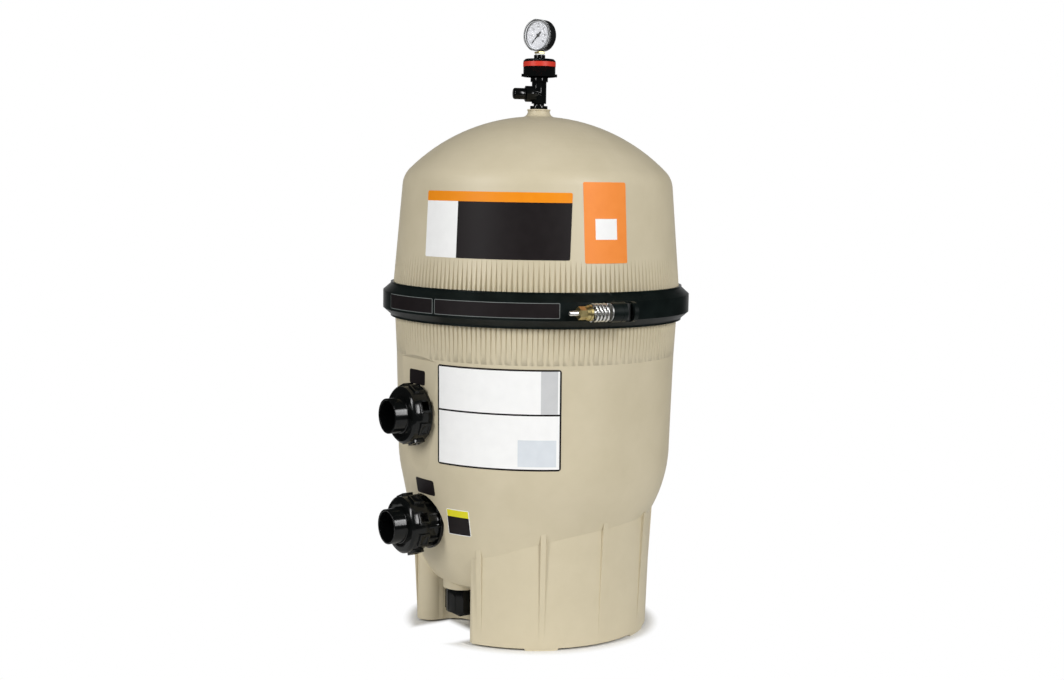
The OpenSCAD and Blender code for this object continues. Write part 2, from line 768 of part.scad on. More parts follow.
module manifold_plate(r) {
    for (s = seats) translate(s) circle(r = r);
    for (turn = [45, 135]) rotate(turn) square([2 * norm(seats[0]), arm_w], center = true);
    circle(r = hub_r);
}

// A hollow cross that the cartridges stand on, fed to the outlet by its hub
module bottom_manifold() color(grey) {
    top = cart_low - seat_gap;
    low = top - manifold_t;
    difference() {
        union() {
            translate([0, 0, low]) linear_extrude(manifold_t) manifold_plate(plate_r);
            manifold_spigots(top - 1, spigot_len + 1);
            translate([0, 0, hub_low]) cylinder(r = hub_r, h = low - hub_low + 1);
        }
        translate([0, 0, low + manifold_wall]) linear_extrude(manifold_t - 2 * manifold_wall)
            manifold_plate(cart_bore / 2 - manifold_wall);
        for (s = seats) translate([s.x, s.y, top - 2 * manifold_wall])
            cylinder(r = spigot_r - manifold_wall, h = 2 * manifold_t);
        translate([0, 0, outlet_z - port_bore / 2])
            cylinder(r = hub_r - manifold_wall, h = low + 2 * manifold_wall - outlet_z + port_bore / 2);
        along_port(0, outlet_z) cylinder(r = pipe_r + seat_gap, h = 2 * hub_r);
        translate([0, 0, top - 2 * manifold_wall]) cylinder(d = bleed_d + 2 * seat_gap, h = manifold_t);
    }
}

module top_manifold() color(grey) {
    low = cart_top + seat_gap;
    difference() {
        union() {
            translate([0, 0, low]) linear_extrude(manifold_t) manifold_plate(plate_r);
            manifold_spigots(low - spigot_len, spigot_len + 1);
        }
        translate([0, 0, low + manifold_wall]) linear_extrude(manifold_t - 2 * manifold_wall)
            manifold_plate(cart_bore / 2 - manifold_wall);
        for (s = seats) translate([s.x, s.y, low - 1])
            cylinder(r = spigot_r - manifold_wall, h = 2 * manifold_wall);
        translate([0, 0, low - 1]) cylinder(r = bleed_d / 2 + run_gap, h = 2 * manifold_t);
    }
}

// The tube that lets trapped air into the outlet
module air_bleed_tube() color(white) {
    low = cart_low - manifold_wall;
    top = cart_top + manifold_t + bleed_rise;
    translate([0, 0, low]) ring(bleed_d / 2, bleed_d / 2 - 2.5, top - low);
}

module air_bleed_strainer() color(white) {
    low = cart_top + seat_gap + manifold_t + seat_gap;
    difference() {
        translate([0, 0, low]) cylinder(d = strainer_d, h = strainer_h);
        translate([0, 0, low - 1]) cylinder(r = bleed_d / 2 + run_gap, h = strainer_h - 2);
        for (i = [0:7]) rotate(i * 45) translate([bleed_d / 2, -strainer_slot / 2, low + 2 * strainer_slot])
            cube([strainer_d, strainer_slot, strainer_h - 5 * strainer_slot]);
    }
}

// Lid
fillet_z = dome_z + sphere_depth(dome_r + neck_fillet, neck_r + neck_fillet);
crown = atan2(fillet_z - dome_z, neck_r + neck_fillet);
shoulder_c = shoulder_centre();
function shoulder_centre() =
    let (b = tan(lid_draft))
    let (a = lid_r + flute_lid_low * b - shoulder_r / cos(lid_draft))
    let (q = dome_r - shoulder_r)
    let (m = a * b + dome_z)
    let (z = (m + sqrt(m * m - (1 + b * b) * (a * a + dome_z * dome_z - q * q))) / (1 + b * b))
    [a - b * z, z];

function lid_outline(inset) =
    let (turn = atan2(shoulder_c.y - dome_z, shoulder_c.x))
    concat(
        arc(shoulder_c, shoulder_r - inset, lid_draft, turn, 8),
        arc([0, dome_z], dome_r - inset, turn, crown, 16)
    );

module lid_shell() color(beige) difference() {
    rest = rim_z + seat_gap;
    rotate_extrude() polygon(concat(
        [[0, rest], [flange_r, rest], [flange_r, rim_z + flange_z(flange_r)],
         [lid_r, rim_z + flange_z(lid_r)], [lid_r, flute_lid_low]],
        lid_outline(0),
        arc([neck_r + neck_fillet, fillet_z], neck_fillet, 180 + crown, 180, 6),
        [[neck_r, neck_top - 2 * neck_lip], [neck_r + neck_lip, neck_top - 2 * neck_lip],
         [neck_r + neck_lip, neck_top], [0, neck_top]]
    ));
    rotate_extrude() polygon(concat(
        [[0, rim_z - 1], [lid_r - wall_t, rim_z - 1], [lid_r - wall_t, flute_lid_low]],
        lid_outline(wall_t),
        [[0, dome_top - wall_t]]
    ));
    flute_cutter(lid_floor_r, flute_lid_low - lip_h, flute_lid_top + 1);
    translate([0, 0, dome_z]) cylinder(r = valve_thread_d / 2 + run_gap, h = 2 * dome_r);
}

// Clamp: a V-section band, split between two lugs that are rounded about the bolt
module clamp_ring() color(slate) {
    brow = clamp_slope_z(clamp_in_r) - clamp_gap;
    outer = [[lip_r + lip_t, clamp_h / 2], [lip_r + lip_t, lip_z + 1], [clamp_r, brow]];
    inner = [[lip_r, clamp_h / 2], [lip_r, lip_z], [clamp_in_r, clamp_slope_z(clamp_in_r)]];
    section = concat(outer, flipped(outer), [for (p = inner) [p.x, -p.y]], [inner[2], inner[1], inner[0]]);
    difference() {
        union() {
            translate([0, 0, rim_z]) rotate_extrude() polygon(section);
            along_bolt(lug_a) {
                cylinder(d = lug_h, h = lug_b - lug_a);
                translate([-lug_h / 2, 0, 0])
                    cube([lug_h, bolt_y - clamp_in_r - clamp_t / 2, lug_b - lug_a]);
            }
        }
        along_bolt(-split_w / 2) translate([-clamp_h, -lug_h, 0]) cube([2 * clamp_h, 3 * lug_h, split_w]);
        along_bolt(bolt_tip) cylinder(r = bolt_d / 2 + seat_gap, h = bar_s - bolt_tip);
        along_bolt(bar_s) translate([0, -lug_h / 2, 0])
            cube([2 * lug_h, lug_h + bar_d, bar_d + 2 * seat_gap], center = true);
    }
}

function flipped(points) = [for (i = [len(points) - 1:-1:0]) [points[i].x, -points[i].y]];

// A bolt with a cross bar that hooks behind the second lug
module clamp_bolt() color(steel) {
    along_bolt(bolt_tip) cylinder(d = bolt_d, h = bar_s - bolt_tip);
    along_bolt(bar_s) rotate([0, 90, 0]) translate([0, 0, -bar_h / 2]) cylinder(d = bar_d, h = bar_h);
}

module clamp_lug_washer() color(steel)
    along_bolt(lug_a - washer_t) ring(spring_d / 2 - seat_gap, bolt_d / 2 + seat_gap, washer_t);

module clamp_nut_washer() color(brass)
    along_bolt(nut_washer_end - nut_washer_t)
        ring(spring_d / 2 - wire_d / 2, bolt_d / 2 + seat_gap, nut_washer_t);

module clamp_nut() color(brass) difference() {
    union() {
        along_bolt(clamp_nut_end - clamp_nut_len)
            cylinder(d = clamp_nut_af * 2 / sqrt(3), h = clamp_nut_len, $fn = 6);
        along_bolt(clamp_nut_end - clamp_nut_len / 3)
            cylinder(d1 = clamp_nut_af + 2, d2 = clamp_nut_af + 6, h = clamp_nut_len / 3);
    }
    along_bolt(clamp_nut_end - 2 * clamp_nut_len) cylinder(r = bolt_d / 2 + run_gap, h = 3 * clamp_nut_len);
}

// The spring's wire: one axial end, the turns, and the other axial end
wire_sides = 6;
rings_per_turn = 8;
wire_steps = rings_per_turn * spring_turns;
coil_r = spring_d / 2 - wire_d / 2;
function coil_point(i) =
    let (a = 360 * i / rings_per_turn)
    [coil_r * cos(a), coil_r * sin(a), wire_d + (spring_len - 2 * wire_d) * i / wire_steps];
wire_path = concat(
    [[coil_r, 0, 0]],
    [for (i = [0:wire_steps]) coil_point(i)],
    [[coil_point(wire_steps).x, coil_point(wire_steps).y, spring_len]]
);
wire_last = len(wire_path) - 1;
function wire_ring(i) =
    let (along = wire_path[min(i + 1, wire_last)] - wire_path[max(i - 1, 0)])
    let (t = along / norm(along))
    let (flat = [wire_path[i].x, wire_path[i].y, 0])
    let (side = cross(t, flat) / norm(cross(t, flat)))
    let (out = cross(side, t))
    [for (k = [0:wire_sides - 1])
        wire_path[i] + wire_d / 2 * (cos(360 * k / wire_sides) * out + sin(360 * k / wire_sides) * side)];
wire_gap = min([for (i = [0:wire_last], j = [i + rings_per_turn / 2:1:wire_last])
    norm(wire_path[i] - wire_path[j])]) - wire_d;
echo(spring_least_gap = wire_gap);

module clamp_spring() color(steel) along_bolt(spring_start) polyhedron(
    points = [for (i = [0:wire_last]) each wire_ring(i)],
    faces = concat(
        [for (k = [1:wire_sides - 2]) [0, k, k + 1]],
        [for (i = [0:wire_last - 1], k = [0:wire_sides - 1], half = [0, 1])
            let (a = i * wire_sides + k, b = i * wire_sides + (k + 1) % wire_sides)
            half == 0 ? [a, a + wire_sides, b] : [b, a + wire_sides, b + wire_sides]],
        [for (k = [1:wire_sides - 2]) wire_last * wire_sides * [1, 1, 1] + [0, k + 1, k]]
    )
);

// Air relief valve
module valve_body() color(black) difference() {
    union() {
        translate([0, 0, neck_top - valve_thread_len])
            cylinder(d = valve_thread_d, h = valve_thread_len + 1);
        translate([0, 0, neck_top + seat_gap])
            cylinder(d = valve_flange_d, h = valve_flange_t - seat_gap);
        translate([0, 0, neck_top + valve_flange_t - 1])
            cylinder(d = valve_throat_d, h = valve_throat_h + 2);
        translate([0, 0, valve_body_z]) cylinder(d = valve_d, h = valve_collar_z - valve_body_z);
        translate([0, 0, valve_collar_z])
            cylinder(d = valve_collar_d, h = knob_z - seat_gap - valve_collar_z);
        translate([0, 0, valve_collar_z]) cylinder(d = stem_d, h = stem_top - valve_collar_z);
        along_vent(0) cylinder(d = vent_collar_d, h = vent_collar_end, $fn = 8);
        along_vent(0) cylinder(d = vent_spigot_d, h = vent_spigot_end);
    }
    translate([0, 0, neck_top - valve_thread_len - 1]) cylinder(d = valve_bore, h = big);
    along_vent(0) cylinder(d = vent_bore, h = vent_reach);
    translate([0, 0, neck_top])
        ring(valve_seal_r + valve_seal_d / 2, valve_seal_r - valve_seal_d / 2, valve_seal_d + run_gap);
}

module valve_seal() color(rubber)
    translate([0, 0, neck_top + valve_seal_d / 2])
        torus(valve_seal_r, valve_seal_d - 2 * run_gap);

// A hollow knob that turns on the stem, with two small ears on its lower rim
module valve_knob() color(black) difference() {
    union() {
        translate([0, 0, knob_z]) cylinder(d = knob_d, h = knob_h - knob_t);
        translate([0, 0, knob_z + knob_h - knob_t])
            cylinder(d1 = knob_d, d2 = knob_d - 2 * knob_t, h = knob_t);
        for (turn = [0, 180]) rotate(turn + knob_turn) translate([knob_d / 2 - 1, -ear_w / 2, knob_z])
            cube([ear_out + 1, ear_w, ear_w]);
    }
    difference() {
        translate([0, 0, knob_z - 1])
            cylinder(d = knob_d - 2 * knob_t, h = knob_h - 2 * knob_t + 1);
        translate([0, 0, knob_z - 2]) cylinder(d = knob_boss_d, h = knob_h);
    }
    translate([0, 0, knob_z - 1]) cylinder(r = stem_d / 2 + run_gap, h = knob_h + 2);
}

module vent_gasket() color(rubber)
    along_vent(vent_spigot_end + seat_gap) cylinder(d = vent_spigot_d - 1, h = vent_gasket_t);

module vent_cap() color(black) {
    back = vent_collar_end + seat_gap;
    edge = vent_reach - vent_chamfer;
    floor = vent_spigot_end + vent_gasket_t + 2 * seat_gap;
    difference() {
        union() {
            along_vent(back) cylinder(d = vent_cap_d, h = edge - back);
            along_vent(edge)
                cylinder(d1 = vent_cap_d, d2 = vent_cap_d - 2 * vent_chamfer, h = vent_chamfer);
        }
        along_vent(vent_collar_end) cylinder(r = vent_spigot_d / 2 + run_gap, h = floor - vent_collar_end);
    }
}

// Pressure gauge
module gauge_bushing() color(black) difference() {
    translate([0, 0, bushing_z]) cylinder(d = bushing_d, h = bushing_h);
    translate([0, 0, bushing_z - 1])
        cylinder(d = stem_d + 2 * run_gap, h = stem_top - bushing_z + 1 + seat_gap);
    translate([0, 0, bushing_z]) cylinder(d = gauge_pipe_d + 2 * run_gap, h = 2 * bushing_h);
}

module thread_tape() color(white) translate([0, 0, bushing_z + bushing_h])
    ring(hex_af / 2 - 0.5, gauge_pipe_d / 2 + run_gap, tape_h);

// A threaded pipe, a hexagon and a spindle whose block carries the curved tube
module gauge_stem() color(brass) difference() {
    union() {
        translate([0, 0, stem_top + 2 * seat_gap])
            cylinder(d = gauge_pipe_d, h = gauge_foot - hex_h - stem_top);
        translate([0, 0, gauge_foot - hex_h]) rotate(gauge_turn)
            cylinder(d = hex_af * 2 / sqrt(3), h = hex_h, $fn = 6);
        translate([0, 0, gauge_foot - 1]) cylinder(d = spindle_d, h = gauge_z - gauge_d / 4 - gauge_foot);
        along_gauge(bourdon_y - spindle_d / 2) rotate(bourdon_from)
            translate([bourdon_r - spindle_d / 2, -spindle_d, 0]) cube(spindle_d);
    }
    translate([0, 0, stem_top]) cylinder(d = spindle_d / 2, h = gauge_foot + gauge_d / 6 - stem_top);
}

module gauge_case() color(black) difference() {
    along_gauge(-gauge_depth / 2) cylinder(d = gauge_d, h = gauge_depth - bezel_lip);
    along_gauge(-gauge_depth / 2 + case_t) cylinder(d = gauge_d - 2 * case_t, h = gauge_depth);
    translate([0, 0, gauge_z - gauge_d]) cylinder(d = spindle_d + 2 * run_gap, h = gauge_d);
}

// A snap ring that holds the lens in the case
module gauge_bezel() color(black) difference() {
    along_gauge(gauge_depth / 2 - bezel_h) cylinder(d = gauge_d + 2 * bezel_t, h = bezel_h);
    along_gauge(0) cylinder(d = gauge_d + 2 * run_gap, h = gauge_depth / 2 - bezel_lip + run_gap);
    along_gauge(0) cylinder(d = gauge_d - 3 * case_t, h = gauge_depth);
}

module gauge_dial() color(white) difference() {
    along_gauge(dial_y) cylinder(d = gauge_d - 2 * case_t - 2 * run_gap, h = dial_t);
    along_gauge(0) cylinder(d = arbor_d + 2 * seat_gap, h = gauge_depth);
}

module gauge_lens() color("#dfe6e8", 0.4)
    along_gauge(lens_y) cylinder(d = gauge_d - 2 * case_t - 2 * run_gap, h = lens_t);

// A pointer at zero, on the arbor that passes through the dial
module gauge_needle() color(black) {
    along_gauge(needle_y) rotate(needle_rest) linear_extrude(needle_t) polygon([
        [-needle_tail, -needle_w / 2], [0, -needle_w / 3], [needle_len, -needle_w / 8],
        [needle_len, needle_w / 8], [0, needle_w / 3], [-needle_tail, needle_w / 2]
    ]);
    along_gauge(needle_y) cylinder(d = 2 * needle_w, h = 1.5 * needle_t);
    along_gauge(dial_y - dial_t) cylinder(d = arbor_d, h = needle_y - dial_y + 2 * dial_t);
}

// The curved tube behind the dial that straightens under pressure
module bourdon_tube() color(brass)
    along_gauge(bourdon_y) rotate(bourdon_from) rotate_extrude(angle = 250)
        translate([bourdon_r, 0]) circle(d = bourdon_d);

tank_shell();
tank_seal();
inlet_bulkhead();
inlet_gasket();
inlet_locknut();
inlet_diffuser();
inlet_union_seal();
inlet_tailpiece();
inlet_union_nut();
outlet_bulkhead();
outlet_gasket();
outlet_locknut();
outlet_union_seal();
outlet_tailpiece();
outlet_union_nut();
outlet_pipe();
bottom_manifold();
drain_fitting();
drain_gasket();
drain_seal();
drain_plug();
cartridge_media(0);  // cartridge_media_1
cartridge_media(1);  // cartridge_media_2
cartridge_media(2);  // cartridge_media_3
cartridge_media(3);  // cartridge_media_4
cartridge_caps(0);  // cartridge_caps_1
cartridge_caps(1);  // cartridge_caps_2
cartridge_caps(2);  // cartridge_caps_3
cartridge_caps(3);  // cartridge_caps_4
cartridge_core(0);  // cartridge_core_1
cartridge_core(1);  // cartridge_core_2
cartridge_core(2);  // cartridge_core_3
cartridge_core(3);  // cartridge_core_4
top_manifold();
air_bleed_tube();
air_bleed_strainer();
lid_shell();
clamp_ring();
clamp_bolt();
clamp_spring();
clamp_lug_washer();
clamp_nut_washer();
clamp_nut();
valve_body();
valve_seal();
valve_knob();
vent_gasket();
vent_cap();
gauge_bushing();
thread_tape();
gauge_stem();
gauge_case();
gauge_bezel();
gauge_dial();
gauge_lens();
gauge_needle();
bourdon_tube();
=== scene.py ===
from math import cos, pi, radians, sin

import bmesh
import bpy
from mathutils import Matrix, Vector
from mathutils.bvhtree import BVHTree


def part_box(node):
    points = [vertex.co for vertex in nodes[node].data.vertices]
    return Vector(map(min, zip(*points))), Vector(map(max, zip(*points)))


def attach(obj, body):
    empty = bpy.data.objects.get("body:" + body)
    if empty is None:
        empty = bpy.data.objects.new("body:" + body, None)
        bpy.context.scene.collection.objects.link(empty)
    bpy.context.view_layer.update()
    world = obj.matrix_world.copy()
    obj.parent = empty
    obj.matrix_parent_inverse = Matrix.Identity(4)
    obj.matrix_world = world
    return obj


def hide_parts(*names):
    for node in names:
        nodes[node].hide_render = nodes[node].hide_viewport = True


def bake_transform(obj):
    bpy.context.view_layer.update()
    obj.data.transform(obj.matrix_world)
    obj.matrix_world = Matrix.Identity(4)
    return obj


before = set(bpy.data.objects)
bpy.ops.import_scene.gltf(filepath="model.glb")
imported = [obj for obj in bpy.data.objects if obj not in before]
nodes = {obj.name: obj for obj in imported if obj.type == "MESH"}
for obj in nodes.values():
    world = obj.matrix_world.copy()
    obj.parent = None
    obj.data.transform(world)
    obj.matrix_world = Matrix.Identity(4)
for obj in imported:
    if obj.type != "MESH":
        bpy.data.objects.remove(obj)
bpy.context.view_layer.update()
scene = bpy.context.scene


# Camera: it stands 2.8 m from the tank's axis, to the right of the unions and a little above the
# middle, and looks slightly down with a faint roll.
def outward(turn):
    """The way out from the tank's axis at an angle round it, counted from the unions' side."""
    return Vector((sin(turn), -cos(turn), 0))


UP = Vector((0, 0, 1))
PHOTO_W, FOCAL_PIXELS, SHIFT_PIXELS, SENSOR_W = 1064, 1543, -3.3, 36
CAMERA_AWAY, CAMERA_HEIGHT = 2.763, 0.798
view_turn, view_pitch, view_roll = radians(55), radians(5.94), radians(0.87)
camera_data = bpy.data.cameras.new("camera")
camera_data.sensor_width = SENSOR_W
camera_data.lens = SENSOR_W * FOCAL_PIXELS / PHOTO_W
camera_data.shift_x = SHIFT_PIXELS / PHOTO_W
camera = bpy.data.objects.new("camera", camera_data)
scene.collection.objects.link(camera)
scene.camera = camera
camera.location = CAMERA_AWAY * outward(view_turn) + CAMERA_HEIGHT * UP
look = -cos(view_pitch) * outward(view_turn) - sin(view_pitch) * UP
camera.rotation_euler = (look.to_track_quat("-Z", "Y").to_matrix()
                         @ Matrix.Rotation(view_roll, 3, "Z")).to_euler()


# Studio: a round sheet of white card under the tank, in a room with a white backdrop. To the camera the
# card is plain white, except near the skirt and the walls of the alcove, where it keeps the shadow.
def add(tree, kind, inputs=None, **settings):
    """Adds a node with its settings, and links or sets its inputs."""
    node = tree.nodes.new("ShaderNode" + kind)
    for name, value in settings.items():
        setattr(node, name, value)
    for name, value in (inputs or {}).items():
        if isinstance(value, bpy.types.NodeSocket):
            tree.links.new(value, node.inputs[name])
        else:
            node.inputs[name].default_value = value
    return node


def new_material(name):
    """An empty material and its node tree."""
    made = bpy.data.materials.new(name)
    made.use_nodes = True
    made.node_tree.nodes.clear()
    return made, made.node_tree


def linear(code):
    """A colour written as sRGB hex, in linear light."""
    parts = [int(code[i:i + 2], 16) / 255 for i in (1, 3, 5)]
    return [p / 12.92 if p <= 0.04045 else ((p + 0.055) / 1.055) ** 2.4 for p in parts] + [1]


def finish_mesh(name, bm, materials, smooth_angle=30):
    """Makes a finished bmesh an object at the origin, smooth except across sharp edges."""
    mesh = bpy.data.meshes.new(name)
    bm.to_mesh(mesh)
    bm.free()
    for polygon in mesh.polygons:
        polygon.use_smooth = True
    mesh.set_sharp_from_angle(angle=radians(smooth_angle))
    for each in materials:
        mesh.materials.append(each)
    made = bpy.data.objects.new(name, mesh)
    scene.collection.objects.link(made)
    return made


CARD_R = 1.1
bm = bmesh.new()
bmesh.ops.create_circle(bm, cap_ends=True, segments=96, radius=CARD_R)

# White card is matt and even, with the faint mottle of paper.
PAPER_MM = 11
SHADE_FROM, SHADE_TO = 0.209, 0.236
ALCOVE_SIDE, ALCOVE_BACK, ALCOVE_SHADE = 0.072, -0.128, 0.022
white_card, tree = new_material("white_card")
where = add(tree, "TexCoord").outputs["Object"]
away = add(tree, "VectorMath", {0: where}, operation="LENGTH").outputs["Value"]
past_skirt = add(tree, "MapRange", {"Value": away, "From Min": SHADE_FROM, "From Max": SHADE_TO},
                 interpolation_type="SMOOTHSTEP").outputs["Result"]
place = add(tree, "SeparateXYZ", {"Vector": where}).outputs
beside = add(tree, "Math", {0: place["X"]}, operation="ABSOLUTE").outputs[0]
to_side = add(tree, "Math", {0: ALCOVE_SIDE, 1: beside}, operation="SUBTRACT").outputs[0]
to_back = add(tree, "Math", {0: ALCOVE_BACK, 1: place["Y"]}, operation="SUBTRACT").outputs[0]
to_wall = add(tree, "Math", {0: to_side, 1: to_back}, operation="MINIMUM").outputs[0]
in_alcove = add(tree, "MapRange", {"Value": to_wall, "From Max": ALCOVE_SHADE},
                interpolation_type="SMOOTHSTEP").outputs["Result"]
unshaded = add(tree, "Math", {0: past_skirt, 1: in_alcove}, operation="MAXIMUM").outputs[0]
path = add(tree, "LightPath").outputs
seen = add(tree, "Math", {0: path["Is Camera Ray"], 1: path["Is Transmission Ray"]},
           operation="MAXIMUM").outputs[0]
mottle = add(tree, "TexNoise", {"Vector": where, "Scale": 1000 / PAPER_MM,
                                "Detail": 3.0}).outputs["Fac"]
tone = add(tree, "ValToRGB", {"Fac": mottle})
tone.color_ramp.elements[0].color = linear("#f2f2f1")
tone.color_ramp.elements[1].color = linear("#f7f7f6")
matt = add(tree, "BsdfDiffuse", {"Color": tone.outputs["Color"]}).outputs[0]
white = add(tree, "Emission", {"Strength": 1.0}).outputs[0]
white_share = add(tree, "Math", {0: seen, 1: unshaded}, operation="MULTIPLY").outputs[0]
paper = add(tree, "MixShader", {0: white_share, 1: matt, 2: white}).outputs[0]
add(tree, "OutputMaterial", {"Surface": paper})
card = finish_mesh("card", bm, [white_card])

# The room is white to the camera and through glass, and dim to matt surfaces. Shiny ones see it nearly
# dark, with the backdrop along the line of sight, so black mouldings are bright only at grazing edges.
ROOM_LIGHT, ROOM_DARK = 0.25, 0.03
BACKDROP_FROM, BACKDROP_TO = 0.86, 1.0
world = bpy.data.worlds.new("white_room")
world.use_nodes = True
tree = world.node_tree
tree.nodes.clear()
path = add(tree, "LightPath").outputs
seen = add(tree, "Math", {0: path["Is Camera Ray"], 1: path["Is Transmission Ray"]},
           operation="MAXIMUM").outputs[0]
heading = add(tree, "TexCoord").outputs["Generated"]
facing = add(tree, "VectorMath", {0: heading, 1: look}, operation="DOT_PRODUCT").outputs["Value"]
mirrored = add(tree, "MapRange", {"Value": facing, "From Min": BACKDROP_FROM, "From Max": BACKDROP_TO,
                                  "To Min": ROOM_DARK, "To Max": 1.0}).outputs["Result"]
room = add(tree, "MapRange", {"Value": path["Is Glossy Ray"], "To Min": ROOM_LIGHT,
                              "To Max": mirrored}).outputs["Result"]
room = add(tree, "MapRange", {"Value": seen, "To Min": room, "To Max": 1.0}).outputs["Result"]
back = add(tree, "Background", {"Color": linear("#ffffff"), "Strength": room}).outputs[0]
add(tree, "OutputWorld", {"Surface": back})
scene.world = world
scene.view_settings.view_transform = "Standard"

# Two tall strip lamps stand to the left and the right of the camera, aimed at the middle of the tank.
LAMP_AWAY, LAMP_HEIGHT, LAMP_W, LAMP_H, LAMP_AIM = 3.0, 1.85, 0.45, 2.0, 0.5
for name, turn, watts in (("left_strip", 8, 54), ("right_strip", 96, 63)):
    lamp_data = bpy.data.lights.new(name, "AREA")
    lamp_data.shape = "RECTANGLE"
    lamp_data.size, lamp_data.size_y = LAMP_W, LAMP_H
    lamp_data.energy = watts
    lamp = bpy.data.objects.new(name, lamp_data)
    scene.collection.objects.link(lamp)
    lamp.location = LAMP_AWAY * outward(radians(turn)) + LAMP_HEIGHT * UP
    lamp.rotation_euler = (LAMP_AIM * UP - lamp.location).to_track_quat("-Z", "Y").to_euler()


# Tank and lid: two injection mouldings of glass-filled polypropylene in beige, each made in one piece.
# The moulds leave a fine satin grain, and the glass fibre a faint cloudiness.
def dress(material, *names):
    """Gives CAD nodes their finish."""
    for name in names:
        mesh = nodes[name].data
        mesh.materials.clear()
        mesh.materials.append(material)


# Moulded polypropylene gives a soft satin sheen on a warm, faintly clouded beige. Its real grain is
# about 0.3 mm across and is drawn coarser, so that it shows.
BEIGE_CLOUD_MM, BEIGE_GRAIN_MM = 70, 1.6
beige_polypropylene, tree = new_material("beige_moulded_polypropylene")
where = add(tree, "TexCoord").outputs["Object"]
cloud = add(tree, "TexNoise", {"Vector": where, "Scale": 1000 / BEIGE_CLOUD_MM, "Detail": 4.0,
                               "Roughness": 0.6}).outputs["Fac"]
tone = add(tree, "ValToRGB", {"Fac": cloud})
tone.color_ramp.elements[0].position, tone.color_ramp.elements[1].position = 0.3, 0.72
tone.color_ramp.elements[0].color = linear("#cbc0a4")
tone.color_ramp.elements[1].color = linear("#d1c6ab")
gloss = add(tree, "MapRange", {"Value": cloud, "To Min": 0.36, "To Max": 0.5}).outputs["Result"]
grain = add(tree, "TexNoise", {"Vector": where, "Scale": 1000 / BEIGE_GRAIN_MM,
                               "Detail": 2.0}).outputs["Fac"]
pitted = add(tree, "Bump", {"Height": grain, "Strength": 0.14, "Distance": 0.0004}).outputs["Normal"]
skin = add(tree, "BsdfPrincipled", {"Base Color": tone.outputs["Color"], "Roughness": gloss,
                                    "IOR": 1.49, "Specular IOR Level": 0.35,
                                    "Normal": pitted}).outputs[0]
add(tree, "OutputMaterial", {"Surface": skin})
dress(beige_polypropylene, "tank_shell", "lid_shell")

# Stickers: printed vinyl in plain blocks of colour, pressed on to the tank and the lid. Each follows
# the moulding under it, stands a hair proud of it, and has rounded corners.
CLOUD_MM, GRAIN_MM, GLOSS_SPREAD = 16.7, 2, 0.08


def even_finish(name, dark, light, rough, bump, shine=0.5):
    """A plain plastic, paint or print: slight clouds of tone and gloss, and a fine grain. The real
    grain is a few tenths of a millimetre across and is drawn coarser, so that it shows."""
    made, tree = new_material(name)
    where = add(tree, "TexCoord").outputs["Object"]
    cloud = add(tree, "TexNoise", {"Vector": where, "Scale": 1000 / CLOUD_MM,
                                   "Detail": 4.0}).outputs["Fac"]
    tone = add(tree, "ValToRGB", {"Fac": cloud})
    tone.color_ramp.elements[0].color = linear(dark)
    tone.color_ramp.elements[1].color = linear(light)
    gloss = add(tree, "MapRange", {"Value": cloud, "To Min": rough - GLOSS_SPREAD,
                                   "To Max": rough + GLOSS_SPREAD}).outputs["Result"]
    grain = add(tree, "TexNoise", {"Vector": where, "Scale": 1000 / GRAIN_MM,
                                   "Detail": 2.0}).outputs["Fac"]
    pitted = add(tree, "Bump", {"Height": grain, "Strength": bump,
                                "Distance": 0.0003}).outputs["Normal"]
    skin = add(tree, "BsdfPrincipled", {"Base Color": tone.outputs["Color"], "Roughness": gloss,
                                        "IOR": 1.5, "Specular IOR Level": shine,
                                        "Normal": pitted}).outputs[0]
    add(tree, "OutputMaterial", {"Surface": skin})
    return made


def grow(bm):
    """Extrudes every face of a sheet, keeps the sheet, and returns the new corners."""
    new = bmesh.ops.extrude_face_region(bm, geom=bm.faces[:], use_keep_orig=True)["geom"]
    return [v for v in new if isinstance(v, bmesh.types.BMVert)]


# A sticker bends every 8 mm and starts a little inside the moulding, so that no light comes under it.
# The rays that find the moulding start outside it, 0.6 m from the axis.
BEND, STICKER_SUNK, STICKER_PROUD, OUTSIDE = 0.008, 0.0003, 0.0004, 0.6


